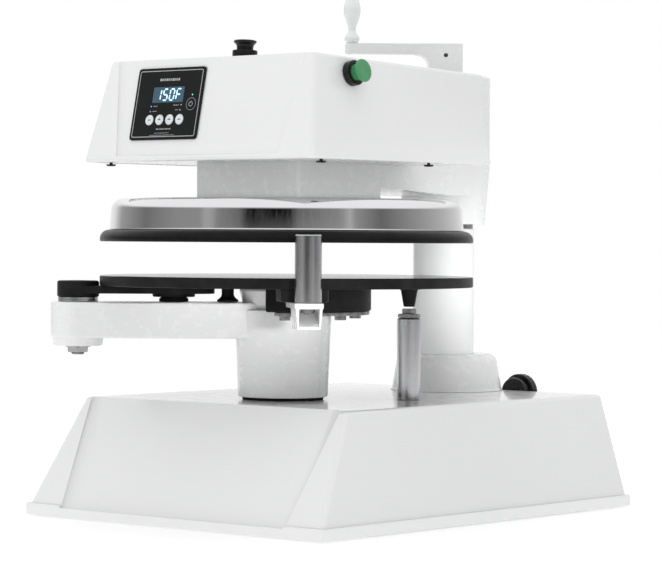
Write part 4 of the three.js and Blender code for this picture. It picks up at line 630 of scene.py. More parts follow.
def make_base_shell(shape):
    flange = raised(
        "base_shell", rounded_outline(BASE_LOW.x, BASE_HIGH.x, BASE_LOW.y, BASE_HIGH.y, 3.5), 0, FLANGE_HEIGHT
    )
    eased(flange, 1.6, 3)
    body = tapered_body("body", FLANGE_HEIGHT - 2, BASE_HIGH.z, 0, 0, 5.5)
    eased(body, shape.base_edge / MM, 6)
    shell = grown(flange, body)
    length = math.hypot(BASE_RUNS["front"], BASE_HIGH.z - FLANGE_HEIGHT)
    low_half = BASE_HIGH.x - FLANGE_LIP - BASE_PANEL_BORDERS[0]
    top_half = BASE_HIGH.x - FLANGE_LIP - BASE_RUNS["side"] - BASE_PANEL_BORDERS[1]
    beyond = 40
    far_half = top_half + (top_half - low_half) / length * beyond
    outline = [
        (-low_half, -4.85), (low_half, -4.85), (far_half, length + beyond), (-far_half, length + beyond)
    ]
    panel = laid(coved_cutter("panel", outline, 7, 20, 24), BASE_FACE)
    inner = tapered_body("inner", FLANGE_HEIGHT + 3, BASE_HIGH.z - 4, 4, 13.2, 2, 4)
    under = raised("under", rounded_outline(
        BASE_LOW.x + 12, BASE_HIGH.x - 12, BASE_LOW.y + 29.6, BASE_HIGH.y - 12, 2, 4), -2, FLANGE_HEIGHT + 4)
    cut(shell, panel, inner, under)
    grown(shell, *(corner_plate(node) for node in frame["nodes"] if node.startswith("foot_")))
    cut(shell, drill((COLUMN.x, COLUMN.y), 38.6, 130, 150, 48))
    return finished(shell, "white_enamel", 30, "base", "white_paint", "base_housing")


def make_foot(node):
    low, high, centre, radius = round_span(node)
    foot = turned(node + "_pad", (centre.x, centre.y), [
        (0, low.z + 0.7), (7, low.z + 0.7), (8, low.z), (radius - 1.2, low.z), (radius, low.z + 0.7),
        (radius, -0.3), (4, -0.3), (4, high.z), (0, high.z),
    ], 48)
    return finished(foot, "moulded_rubber", 35, "base", "black_rubber", node)


# ---------------------------------------------------------------- column
def make_column(shape):
    low, high = span("column_tube")
    radius = (high.x - low.x) / 2
    tube = turned("column_sleeve", (COLUMN.x, COLUMN.y), [
        (radius - 1.7, low.z), (radius, low.z), (radius, high.z - 0.8), (radius - 0.6, high.z),
        (radius - 1.2, high.z), (radius - 1.7, high.z - 0.6), (radius - 1.7, low.z),
    ], 128)
    finished(tube, "white_enamel", 35, "base", "white_paint", "column_tube")

    low, high = span("column_collar")
    centre = (low + high) / 2
    foot = (high.x - low.x) / 2
    wide, narrow, edge = foot - 2, foot - 7.4, shape.collar_edge / MM
    profile = [
        (0, low.z), (foot, low.z), (foot - 0.2, low.z + 1.2), (foot - 1.4, low.z + 2.6), (wide, low.z + 4.5)
    ]
    profile += [
        (narrow - edge + edge * math.cos(math.radians(a)), high.z - edge + edge * math.sin(math.radians(a)))
        for a in range(0, 91, 9)
    ]
    profile.append((0, high.z))
    collar = turned("column_foot", (centre.x, centre.y), profile, 128)
    bore = turned("bore", (COLUMN.x, COLUMN.y), [
        (0, low.z - 2), (radius + 0.3, low.z - 2), (radius + 0.3, high.z - 0.8), (radius + 1.6, high.z + 1),
        (0, high.z + 1),
    ], 96)
    cut(collar, bore)
    return finished(collar, "white_casting", 35, "base", "white_paint", "column_collar")


# ---------------------------------------------------------------- support boss, arm and pivot
BOSS = middle("boss_gasket")


def make_support_arm(shape):
    low, ledge, top = ARM_LOW.z, PLATEN_BOTTOM - BOSS_LEDGE, ARM_HIGH.z
    arm_low = ARM_TOP - ARM_DEPTH
    length = math.hypot(PIVOT.x, PIVOT.y)
    boss = turned("support_casting", (BOSS.x, BOSS.y), [
        (0, low), (54.4, low), (55.2, low + 0.8), (59.3, ledge - 2.2), (58.9, ledge - 0.8), (57.7, ledge),
        (0, ledge),
    ], 128)
    hub = turned("hub", (0, 0), [
        (0, ledge - 6), (51.6, ledge - 6), (52.2, ledge + 2.2), (57.6, top - 1.5), (56.8, top),
        (0, top)], 128)
    arm = raised("arm", link_outline(36, 33.3, length, 40), arm_low, ARM_TOP)
    swung(arm, PIVOT_ANGLE)
    eased(arm, shape.cast_edge / MM, 4)
    end_low = arm_low - ARM_END_DROP
    end = turned("end", (PIVOT.x, PIVOT.y), [
        (0, end_low), (29.2, end_low), (30.5, end_low + 1.3), (33.3, ARM_TOP - 2.5), (31.0, ARM_TOP),
        (0, ARM_TOP),
    ], 96)
    grown(boss, hub, arm, end)
    cut(
        boss,
        drill((PIVOT.x, PIVOT.y), PIVOT_BORE, end_low - 2, ARM_TOP + 2, 64),
        drill((0, 0), 8.3, low - 2, low + 46, 32),
    )
    return finished(boss, "white_casting", 28, "base", "white_paint", "support_arm")


def make_gasket():
    low, high = span("boss_gasket")
    radius = (high.x - low.x) / 2
    gasket = turned("boss_seal", (BOSS.x, BOSS.y), [
        (13, low.z), (radius - 0.6, low.z), (radius, low.z + 0.9), (radius, high.z - 0.9),
        (radius - 0.6, high.z),
        (13, high.z), (13, low.z),
    ], 96)
    return finished(gasket, "moulded_rubber", 35, "base", "black_rubber", "boss_gasket")


def threaded_end(radius, low, high, pitch=1.75):
    """Profile of a screw end, from the axis at the bottom up to high."""
    points = [(0, low), (radius - 1.6, low), (radius - 0.9, low + 0.9)]
    z = low + 1.4
    while z + pitch < high:
        points += [(radius, z), (radius - 0.8, z + pitch / 2)]
        z += pitch
    points.append((radius, z))
    return points


def hex_nut(name, centre, across, low, high, bore, turn=0.0):
    """A chamfered hexagon with a hole, or without one when the bore is 0."""
    nut = raised(name, hexagon_outline(across, centre[0], centre[1], turn), low, high)
    reach = across / 2
    corner = across / math.sqrt(3) + 1
    for a, b in ((high, -1), (low, 1)):
        ring = turned("chamfer", centre, [
            (reach, a + 0.01 * -b), (corner, a + 0.01 * -b), (corner, a + b * (corner - reach) * 0.5),
            (reach, a + 0.01 * -b),
        ], 48)
        cut(nut, ring)
    if bore:
        cut(nut, drill(centre, bore, low - 1, high + 1, 48))
    return nut


def make_pivot():
    centre = (PIVOT.x, PIVOT.y)
    low, high = span("pivot_pin")
    shoulder = ARM_TOP - ARM_DEPTH - ARM_END_DROP - 0.3
    profile = threaded_end(8.3, low.z, shoulder)
    profile += [(8.3, shoulder), (11.4, shoulder), (12, shoulder + 0.6), (12, high.z - 0.8), (11.2, high.z),
                (4, high.z),
                (3.2, high.z - 1.6), (0, high.z - 2.6)]
    pin = turned("pivot_shaft", centre, profile, 64)
    finished(pin, "plated_steel", 50, "swing", "dark_steel", "pivot_pin")

    low, high = span("pivot_nut")
    nut = hex_nut("pivot_locknut", centre, 24.5, low.z, high.z - 1.0, 8.6, 14)
    flange = turned("flange", centre, [
        (8.6, high.z - 1.2), (15.2, high.z - 1.2), (15.6, high.z - 0.8), (15.6, high.z), (8.6, high.z),
        (8.6, high.z - 1.2),
    ], 64)
    nut = grown(nut, flange)
    finished(nut, "brushed_steel", 28, "swing", "brushed_steel", "pivot_nut")

    low, high = span("pivot_washer")
    outer = (high.x - low.x) / 2
    half = (low.z + high.z) / 2
    washer = turned("pivot_thrust_washers", centre, [
        (PIVOT_BORE, low.z), (outer - 0.5, low.z), (outer, low.z + 0.5), (outer, half - 0.4),
        (outer - 0.5, half - 0.1), (outer - 0.5, half + 0.1), (outer, half + 0.4),
        (outer, high.z - 0.5), (outer - 0.5, high.z), (PIVOT_BORE, high.z),
        (PIVOT_BORE, low.z),
    ], 96)
    return finished(washer, "brushed_steel", 35, "base", "brushed_steel", "pivot_washer")


def make_bumpers():
    low, high, centre, radius = round_span("bumper_outer")
    pad = turned("bumper_pad", (centre.x, centre.y), [
        (0, low.z), (radius - 0.6, low.z), (radius, low.z + 0.8), (radius - 0.4, high.z - 1.8),
        (radius - 2.4, high.z),
        (6, high.z), (5.2, high.z - 1.4), (0, high.z - 1.4),
    ], 64)
    finished(pad, "moulded_rubber", 35, "base", "black_rubber", "bumper_outer")
    low, high, centre, radius = round_span("bumper_inner")
    profile = [(0, low.z), (radius - 0.4, low.z), (radius, low.z + 0.6), (radius, low.z + 1.6)]
    for i in range(9):
        t = i / 8
        profile.append((7.5 + (radius - 7.5) * (1 - t) ** 2.2, low.z + 2.2 + 7.5 * t))
    profile += [(7.6, high.z - 3), (8.4, high.z - 0.6), (8.0, high.z), (0, high.z)]
    spool = turned("bumper_spool", (centre.x, centre.y), profile, 64)
    return finished(spool, "moulded_rubber", 35, "base", "black_rubber", "bumper_inner")


def make_post():
    centre = (POST.x, POST.y)
    low, high = span("support_post")
    radius = (high.x - low.x) / 2
    seat = BASE_HIGH.z + 0.3
    post = turned("rest_post", centre, [
        (0, low.z), (5.2, low.z), (6, low.z + 0.8), (6, seat), (radius - 0.8, seat), (radius, seat + 0.8),
        (radius, high.z - 1.2), (radius - 1.2, high.z), (6.2, high.z), (5.3, high.z - 0.9),
        (5.3, high.z - 42),
        (0, high.z - 43),
    ], 96)
    finished(post, "brushed_steel", 35, "base", "brushed_steel", "support_post")
    low, high = span("post_jam_nut")
    nut = hex_nut("post_locknut", centre, high.x - low.x, low.z, high.z, 5.3, 30)
    finished(nut, "plated_steel", 28, "base", "dark_steel", "post_jam_nut")
    low, high = span("post_bolt")
    head_low = high.z - 6
    head = hex_nut("post_screw", centre, high.x - low.x, head_low, high.z, 0, 30)
    shank = turned(
        "shank", centre,
        threaded_end(5, low.z, head_low - 1, 1.5) + [(5, head_low + 0.5), (0, head_low + 0.5)], 48
    )
    screw = grown(head, shank)
    return finished(screw, "plated_steel", 28, "base", "dark_steel", "post_bolt")


# ---------------------------------------------------------------- lower platen
def make_lower_platen():
    top = LOWER_HIGH.z
    radius = PLATEN_RADIUS
    disc = turned("lower_platen_plate", (0, 0), [
        (0, PLATEN_BOTTOM), (radius - 1.4, PLATEN_BOTTOM), (radius - 0.4, PLATEN_BOTTOM + 0.4),
        (radius, PLATEN_BOTTOM + 1.4), (radius, top - 1.8), (radius - 0.5, top - 0.6), (radius - 1.8, top),
        (radius * 0.66, top), (radius * 0.33, top), (0, top),
    ], 192)
    ear = raised("ear", rounded_outline(150, radius - 3, -28, 28, 9, 6), LOWER_LOW.z, PLATEN_BOTTOM + 1)
    swung(ear, HANDLE_ANGLE)
    eased(ear, 1.6, 3)
    grown(disc, ear)
    painted(smooth(disc, 30), "black_coating")
    paint_where(disc, "working_face", lambda place, normal: normal.z > 0.9 and place.z > top - 0.5)
    return placed(disc, "swing", "black_coating", "lower_platen")


def make_platen_bracket():
    low, high = span("platen_bracket")
    under = PLATEN_BOTTOM - 0.3
    reach = math.hypot(PIVOT.x, PIVOT.y)
    flat = raised("pivot_bracket", link_outline(34, 25.5, reach - 122, 28), under - 9.2, under)
    swung(flat, PIVOT_ANGLE, *polar(122, PIVOT_ANGLE).xy)
    eased(flat, 1.0, 2)
    pad_place = polar(138, PIVOT_ANGLE)
    pad = turned("pad", (pad_place.x, pad_place.y), [
        (0, low.z), (24.8, low.z), (26, low.z + 1.2), (26, under - 0.5), (0, under - 0.5)], 64)
    tab = turned("tab", (PIVOT.x, PIVOT.y), [
        (0, low.z), (24.5, low.z), (25.5, low.z + 1), (25.5, high.z - 2.2), (24.6, high.z - 0.6),
        (23.2, high.z), (0, high.z)], 80)
    grown(flat, pad, tab)
    cut(
        flat,
        drill((0, 0), PLATEN_RADIUS + 0.3, under, high.z + 5, 192),
        drill((PIVOT.x, PIVOT.y), PIVOT_BORE, low.z - 1, high.z + 1, 64),
    )
    return finished(flat, "black_coating", 30, "swing", "black_coating", "platen_bracket")


BOLT_ANGLES = (-50, -1, 56)


def make_stop_block(shape):
    low, high = span("stop_block")
    block = raised("stop_arc", sector_outline(68, 104, -63, 70), low.z, high.z)
    eased(block, shape.stop_edge / MM, 4, 50)
    for angle in BOLT_ANGLES:
        place = polar(88, angle)
        cut(block, drill((place.x, place.y), 4.3, low.z - 1, low.z + 16, 24))
    finished(block, "black_coating", 30, "swing", "black_coating", "stop_block")

    low, high = span("stop_block_plate")
    plate = raised("stop_plate", sector_outline(70, 102, -57, 67), low.z, high.z)
    eased(plate, 0.6, 2, 50)
    for angle in BOLT_ANGLES:
        place = polar(88, angle)
        cut(plate, drill((place.x, place.y), 4.3, low.z - 1, high.z + 1, 24))
    finished(plate, "plated_steel", 30, "swing", "dark_steel", "stop_block_plate")

    for i, angle in enumerate(BOLT_ANGLES):
        node = f"stop_bolt_{i + 1}"
        place = polar(88, angle)
        centre = (place.x, place.y)
        low, high = span(node)
        head = hex_nut(node + "_screw", centre, 12.5, low.z, low.z + 4.4, 0, 20 * i + 8)
        seat = low.z + 5.2
        body = turned("shank", centre, [
            (0, seat - 1.2), (6.9, seat - 1.2), (7.1, seat - 0.9), (7.1, seat), (4, seat), (4, high.z - 1),
            (3.2, high.z), (0, high.z),
        ], 40)
        grown(head, body)
        finished(head, "plated_steel", 28, "swing", "dark_steel", node)


def make_platen_foot():
    centre = (POST.x, POST.y)
    low, high = span("platen_foot")
    plate = high.z - 2.7
    foot = turned("platen_rest", centre, [
        (0, low.z), (5.6, low.z), (6.6, low.z + 0.5), (6.95, low.z + 1.4), (10.2, plate - 1.6),
        (11.2, plate - 0.4),
        (12.6, plate), (15.4, plate), (16, plate + 0.6), (16, high.z), (0, high.z),
    ], 64)
    return finished(foot, "moulded_rubber", 35, "swing", "black_rubber", "platen_foot")


# ---------------------------------------------------------------- swing handle
def make_handle():
    centre = (HANDLE.x, HANDLE.y)
    low, high = span("platen_handle")
    radius = (high.x - low.x) / 2
    bar = turned("swing_handle", centre, [
        (0, low.z + 26), (4.3, low.z + 25), (4.3, low.z), (radius - 0.8, low.z), (radius, low.z + 0.8),
        (radius, high.z - 1.6), (radius - 0.5, high.z - 0.7), (radius - 1.8, high.z), (0, high.z),
    ], 96)
    finished(bar, "brushed_steel", 35, "swing", "brushed_steel", "platen_handle")

    reach = math.hypot(HANDLE.x, HANDLE.y)
    outer = reach + 16.4
    shelf_top = low.z - 0.3
    shelf_low = shelf_top - 6.5
    shelf = raised("handle_shelf", rounded_outline(160, outer, -16.4, 16.4, 2.5, 4), shelf_low, shelf_top)
    eased(shelf, 0.9, 3)
    inner, low_z = 205, shelf_low - 23.4
    cheek = drawn_face("cheek", rounded_outline(inner, outer - 1, -15.4, 15.4, 1.5, 3), shelf_low + 1)
    bpy.ops.mesh.extrude_region_move(TRANSFORM_OT_translate={"value": (0, 0, (low_z - shelf_low - 1) * MM)})
    bpy.ops.transform.resize(
        value=((outer - 4 - inner - 8) / (outer - 1 - inner), 13.5 / 15.4, 1),
        center_override=Vector(((inner + outer - 1) / 2, 0, low_z)) * MM,
    )
    bpy.ops.transform.translate(value=((8 - 3) / 2 * MM, 0, 0))
    close_up(cheek)
    eased(cheek, 1.4, 3)
    grown(shelf, cheek)
    pocket = drawn_face("pocket", [
        (outer - 36, shelf_low), (outer - 36, shelf_low - 6.5), (outer + 3, low_z + 0.6),
        (outer + 3, shelf_low)], -11.8)
    bpy.ops.mesh.extrude_region_move(TRANSFORM_OT_translate={"value": (0, 0, 23.6 * MM)})
    laid(close_up(pocket), Matrix.Rotation(math.pi / 2, 4, "X"))
    hole = drill((reach, 0), 4.3, shelf_low - 1, shelf_top + 1, 32)
    cut(shelf, pocket, hole)
    swung(shelf, HANDLE_ANGLE)
    finished(shelf, "white_casting", 30, "swing", "white_paint", "handle_bracket")

    low, high = span("handle_screw")
    seat = low.z + 5.5
    screw = turned("handle_fixing", centre, [
        (0, low.z + 2.6), (3.0, low.z + 2.6), (3.4, low.z), (5.4, low.z), (7.2, low.z + 1.2), (8, low.z + 3),
        (8, seat),
        (4, seat), (4, high.z - 1), (3, high.z), (0, high.z),
    ], 48)
    return finished(screw, "plated_steel", 35, "swing", "dark_steel", "handle_screw")


# ---------------------------------------------------------------- upper platen and cover
def make_upper_platen():
    low, high = UPPER_LOW.z, UPPER_HIGH.z
    radius = PLATEN_RADIUS
    profile = [(0, low), (radius - 1.6, low), (radius - 0.5, low + 0.5), (radius, low + 1.6)]
    edge = 11
    profile += [
        (radius - edge + edge * math.cos(math.radians(a)), high - edge + edge * math.sin(math.radians(a)))
        for a in range(0, 91, 10)
    ]
    profile.append((0, high))
    platen = turned("upper_platen_plate", (0, 0), profile, 192)
    return finished(platen, "release_coating", 35, "ram", "upper_platen_coating", "upper_platen")


def make_platen_cover(shape):
    low, high = COVER_LOW.z, COVER_HIGH.z
    radius = COVER_HIGH.x
    wall, edge = 2.0, shape.cover_edge / MM

    def side(offset, top, bend):
        return [
            (radius - 2 - bend + bend * math.cos(math.radians(a)) - offset,
             top - bend + bend * math.sin(math.radians(a)))
            for a in range(0, 91, 6)
        ]

    outer = [(radius - 0.6, low), (radius, low + 0.5), (radius - 0.4, low + 2.2)] + side(0, high, edge)
    inner = side(wall, high - wall, edge - wall)
    profile = outer + [(16, high), (16, high - wall)] + inner[::-1] + [
        (radius - wall, low), (radius - 0.6, low)
    ]
    cover = turned("heater_cover", (0, 0), profile, 224)
    for x in (-66, 66):
        cut(cover, drill((x, 0), 8, high - 4, high + 2, 32))
    return finished(cover, "polished_cover", 35, "ram", "polished_cover", "platen_cover")


# ---------------------------------------------------------------- head
def head_shell(name, skin, front_skin, low, back):
    """The head's skin: sides hollow and steeper behind a crease, top falling to the back."""
    x1 = HEAD_HALF
    y0, y1 = HEAD_LOW.y, HEAD_HIGH.y
    radius, crease = 5, -35
    side = [crease + (y1 - radius - crease) * i / 6 for i in range(7)]
    outline = arc((x1 - radius, y0 + radius), radius, -90, 0, 6) + [(x1, y) for y in side[:-1]]
    outline += arc((x1 - radius, y1 - radius), radius, 0, 90, 6) + arc(
        (radius - x1, y1 - radius), radius, 90, 180, 6
    )
    outline += [(-x1, y) for y in side[-2::-1]] + arc((radius - x1, y0 + radius), radius, 180, 270, 6)
    levels = [low + (1 - low) * i / 8 for i in range(9)]
    piece = drawn_face(name, outline, levels[0])
    for last, level in zip(levels, levels[1:]):
        bpy.ops.mesh.extrude_region_move(TRANSFORM_OT_translate={"value": (0, 0, (level - last) * MM)})
    close_up(piece)
    for vertex in piece.data.vertices:
        x, y, t = vertex.co / MM
        behind = min(max((y - crease) / (y1 - crease), 0), 1)
        run = (HEAD_SIDE_RUN + (15 - HEAD_SIDE_RUN) * behind) * t
        bow = 4 * t * (1 - t) * 4.5 * behind
        length = y1 - y0
        start = y0 + front_skin + t * HEAD_FRONT_RUN
        y_new = start + (y - y0) / length * (y1 + back - start)
        rise = (y_new - y0) / length
        height = HEAD_FRONT_HEIGHT + (HEAD_REAR_HEIGHT - HEAD_FRONT_HEIGHT) * rise - skin
        vertex.co = Vector(
            (x * (HEAD_HALF - skin - run - bow) / HEAD_HALF, y_new, HEAD_LOW.z + t * height)
        ) * MM
    return piece


def make_head_cover(shape):
    shell = head_shell("head_hood", 0, 0, 0, 0)
    eased(shell, shape.head_edge / MM, 5, 40)
    length = math.hypot(HEAD_FRONT_RUN, HEAD_FRONT_HEIGHT)
    low_half = HEAD_HALF - HEAD_PANEL_BORDERS[0]
    top_half = HEAD_HALF - HEAD_SIDE_RUN - HEAD_PANEL_BORDERS[1]
    beyond = 30
    far_half = top_half + (top_half - low_half) / length * beyond
    outline = [(-low_half, 7), (low_half, 7), (far_half, length + beyond), (-far_half, length + beyond)]
    panel = laid(coved_cutter("panel", outline, HEAD_PANEL_DEPTH, 16, 22), HEAD_FACE)
    inner = head_shell("inner", 3, 8.8, -0.1, 5)
    cut(shell, panel, inner)
    port = laid(raised("port", [(-111, 32.3), (-11, 32.3), (-11, 111.3), (-111, 111.3)], -25, 5), HEAD_FACE)
    cut(shell, port)
    for place in (SIDE_BUTTON, TOP_BUTTON):
        hole = drill((0, 0), 11.3, -20, 20, 48)
        cut(shell, laid(hole, place))
    return finished(shell, "white_enamel", 28, "head", "white_paint", "head_cover")


def make_head_casting(shape):
    casting = copied_node("head_frame", "head_casting")
    eased(casting, shape.cast_edge / MM * 0.7, 3, 40)
    return finished(casting, "white_casting", 30, "head", "white_paint", "head_casting")


def make_pan_screws():
    for i in range(1, 5):
        node = f"pan_screw_{i}"
        low, high = span(node)
        centre = ((low.x + high.x) / 2, (low.y + high.y) / 2)
        radius = (high.x - low.x) / 2
        seat = low.z + 2.4
        screw = turned(node + "_head", centre, [
            (0, low.z + 0.9), (1.2, low.z + 0.9), (1.5, low.z), (radius - 1.4, low.z + 0.1),
            (radius - 0.4, low.z + 0.8),
            (radius, low.z + 1.6), (radius, seat), (2, seat), (2, high.z), (0, high.z),
        ], 32)
        finished(screw, "black_moulding", 35, "head", "black_plastic", node)


# ---------------------------------------------------------------- controls
PANEL_TOP = -HEAD_PANEL_DEPTH + 0.3 + 2.0
PANEL_X, PANEL_Y = -116.0, 27.3
PANEL_W, PANEL_H = 110.0, 89.0
KEYS = [(54 + i * 16.4, 24.6) for i in (-1.5, -0.5, 0.5, 1.5)]
POWER_KEY = (94, 43.1)
WINDOW = (54, 55.7, 51, 19.6)


def on_panel(u, v):
    return PANEL_X + u, PANEL_Y + v


def panel_slab(name, u0, u1, v0, v1, low, high, radius, steps=4):
    x0, y0 = on_panel(u0, v0)
    x1, y1 = on_panel(u1, v1)
    return raised(name, rounded_outline(x0, x1, y0, y1, radius, steps), low, high)


def on_face(piece):
    return laid(piece, HEAD_FACE)


def make_overlay():
    overlay = panel_slab("panel_plate", 0, PANEL_W, 0, PANEL_H, PANEL_TOP - 2, PANEL_TOP, 4, 6)
    eased(overlay, 0.35, 2, 60)
    u, v, w, h = WINDOW
    cut(overlay, panel_slab("hole", u - w / 2 - 0.3, u + w / 2 + 0.3, v - h / 2 - 0.3, v + h / 2 + 0.3,
                            PANEL_TOP - 4, PANEL_TOP + 2, 1.2))
    for key in KEYS + [POWER_KEY]:
        x, y = on_panel(*key)
        cut(overlay, drill((x, y), 6.8, PANEL_TOP - 4, PANEL_TOP + 2, 40))
    painted(smooth(on_face(overlay), 30), "panel_overlay")
    return placed(overlay, "head", "black_plastic", "control_panel")


def frame_line(name, u0, u1, v0, v1, radius, width, low, high):
    line = panel_slab(name, u0, u1, v0, v1, low, high, radius, 5)
    hole = panel_slab(
        "hole", u0 + width, u1 - width, v0 + width, v1 - width, low - 1, high + 1, radius - width, 5
    )
    return cut(line, hole)


# Rows of small marks on the overlay: from, to, lower edge, height and pitch.
PRINTED_ROWS = (
    (37.8, 70.5, 72.6, 3.0, 3.3), (43, 68, 12.4, 1.3, 2.4), (41, 65, 7.8, 0.7, 1.6),
    (33.6, 73, 5.2, 0.7, 1.6),
    (33, 39.6, 41.0, 1.0, 1.6), (33, 39.6, 34.8, 1.0, 1.6), (65.5, 74.5, 41.8, 1.0, 1.6),
    (70, 74.2, 35.8, 1.0, 1.6),
)


def make_print():
    """Lines and small marks that stand for the overlay's printing."""
    low, high = PANEL_TOP + 0.02, PANEL_TOP + 0.12
    marks = [frame_line("mark", 3.3, PANEL_W - 3.3, 3.3, PANEL_H - 3.3, 2.6, 0.9, low, high)]
    for u0, u1, v, tall, step in PRINTED_ROWS:
        count = round((u1 - u0) / step)
        for i in range(count):
            wide = step * (0.55 if i % 3 else 0.75)
            u = u0 + i * step
            marks.append(panel_slab("mark", u, u + wide, v, v + tall, low, high, 0.12, 1))
    centre = on_panel(*POWER_KEY)
    marks.append(turned("mark", centre, [(7.2, low), (7.6, low), (7.6, high), (7.2, high), (7.2, low)], 48))
    printed = on_face(joined("panel_marks", marks))
    painted(printed, "panel_print")
    return placed(printed, "head", "black_plastic")


SEGMENTS = {
    "a": ((0.16, 1.0), (0.84, 1.0)), "b": ((1.0, 0.9), (1.0, 0.56)), "c": ((1.0, 0.44), (1.0, 0.1)),
    "d": ((0.16, 0.0), (0.84, 0.0)), "e": ((0.0, 0.44), (0.0, 0.1)), "f": ((0.0, 0.9), (0.0, 0.56)),
    "g": ((0.16, 0.5), (0.84, 0.5)),
}
READOUT = ("bc", "afgcd", "abcdef", "aefg")


def segment(start, end, width, low, high):
    """A six-sided bar of a lit digit."""
    along = (Vector(end) - Vector(start)).normalized()
    across = Vector((-along.y, along.x)) * width / 2
    tip = along * width / 2
    a, b = Vector(start), Vector(end)
    outline = [a - tip * 0.6, a + tip * 0.4 - across, b - tip * 0.4 - across, b + tip * 0.6,
               b - tip * 0.4 + across,
               a + tip * 0.4 + across]
    return raised("bar", [tuple(p) for p in outline], low, high)


def make_display():
    u, v, w, h = WINDOW
    window = panel_slab(
        "display_pane", u - w / 2, u + w / 2, v - h / 2, v + h / 2, PANEL_TOP - 4.5, PANEL_TOP - 0.6, 1.0
    )
    eased(window, 0.25, 2, 60)
    painted(smooth(on_face(window), 30), "display_window")
    placed(window, "head", "display_glass", "display_window")
    bars = []
    wide, tall, pitch, slant = 6.6, 13.6, 10.8, 0.09
    start = u - 1.5 * pitch - wide / 2
    for i, lit in enumerate(READOUT):
        for key in lit:
            ends = []
            for px, py in SEGMENTS[key]:
                x, y = on_panel(start + i * pitch + px * wide, v - tall / 2 + py * tall)
                ends.append((x + py * tall * slant, y))
            bars.append(segment(ends[0], ends[1], 1.7, PANEL_TOP - 0.59, PANEL_TOP - 0.45))
    digits = on_face(joined("display_digits", bars))
    painted(digits, "digit_glow")
    placed(digits, "head", "display_glass")
    for name, finish, u, v in (
        ("lamp_power", "lamp_green", 94.4, 54.5), ("lamp_heat", "lamp_blue", 29.3, 41.4),
        ("lamp_time", "panel_print", 29.0, 35.1),
        ("lamp_unit", "panel_print", 78.2, 42.5), ("lamp_count", "panel_print", 77.5, 36.2),
    ):
        x, y = on_panel(u, v)
        lamp = turned(name, (x, y), [
            (0, PANEL_TOP + 0.02), (0.9, PANEL_TOP + 0.02), (0.9, PANEL_TOP + 0.12), (0.6, PANEL_TOP + 0.3),
            (0, PANEL_TOP + 0.36)], 20)
        painted(smooth(on_face(lamp)), finish)
        placed(lamp, "head", "display_glass")


def make_keys():
    top = PANEL_TOP + 0.6
    low = PANEL_TOP - 4.3
    mat = panel_slab("key_mat", 19, 104, 15, 40, low, PANEL_TOP - 2.3, 2)
    bump = panel_slab("mat", 84, 104, 38, 52, low, PANEL_TOP - 2.3, 2)
    grown(mat, bump)
    for u, v in KEYS + [POWER_KEY]:
        x, y = on_panel(u, v)
        dome = turned("dome", (x, y), [
            (0, low + 1), (6.5, low + 1), (6.5, top - 0.9), (6.2, top - 0.3), (5.4, top), (4.6, top - 0.12),
            (0, top - 0.3)], 48)
        grown(mat, dome)
    on_face(mat)
    finished(mat, "key_rubber", 30, "head", "key_rubber", "keypad")
    marks = []
    for i, (u, v) in enumerate(KEYS):
        x, y = on_panel(u, v)
        marks.append(
            raised("mark", rounded_outline(x - 2.4, x + 2.4, y - 0.45, y + 0.45, 0.2, 1),
                   top - 0.28, top - 0.1)
        )
        if i in (1, 2):
            marks.append(
                raised("mark", rounded_outline(x - 0.45, x + 0.45, y + 0.6, y + 2.2, 0.2, 1),
                       top - 0.28, top - 0.1)
            )
    x, y = on_panel(*POWER_KEY)
    face = turned("disc", (x, y), [
        (0, top - 0.6), (6.0, top - 0.7), (6.56, top - 0.9), (6.3, top - 0.22), (5.45, top + 0.06),
        (4.6, top - 0.06),
        (0, top - 0.2),
    ], 40)
    on_face(face)
    finished(face, "panel_overlay", 35, "head", "black_plastic")
    ring = turned(
        "ring", (x, y), [(2.5, top - 0.2), (3.1, top - 0.2), (3.1, top), (2.5, top), (2.5, top - 0.2)], 32
    )
    bar = raised("mark", rounded_outline(x - 0.35, x + 0.35, y + 0.6, y + 3.6, 0.2, 1), top - 0.2, top)
    symbol = on_face(joined("power_symbol", [ring, bar]))
    painted(symbol, "panel_print")
    placed(symbol, "head", "key_rubber")
    marked = on_face(joined("key_marks", marks))
    painted(marked, "panel_overlay")
    return placed(marked, "head", "black_plastic")


def button_place(x, y, z, tilt_y, tilt_x):
    turn = Matrix.Rotation(tilt_y, 4, "Y") @ Matrix.Rotation(tilt_x, 4, "X")
    return Matrix.Translation(Vector((x, y, z)) * MM) @ turn


SIDE_LEAN = math.atan2(HEAD_SIDE_RUN, HEAD_FRONT_HEIGHT)
SIDE_BUTTON = button_place(
    HEAD_HALF - HEAD_SIDE_RUN * 101 / HEAD_FRONT_HEIGHT, -80, HEAD_LOW.z + 101, math.pi / 2 - SIDE_LEAN, 0
)
TOP_FALL = math.atan2(HEAD_FRONT_HEIGHT - HEAD_REAR_HEIGHT, HEAD_HIGH.y - HEAD_LOW.y)
TOP_BUTTON = button_place(
    30, -112, HEAD_LOW.z + HEAD_FRONT_HEIGHT - 13 * (-112 - HEAD_LOW.y) / (HEAD_HIGH.y - HEAD_LOW.y), 0,
    -TOP_FALL)


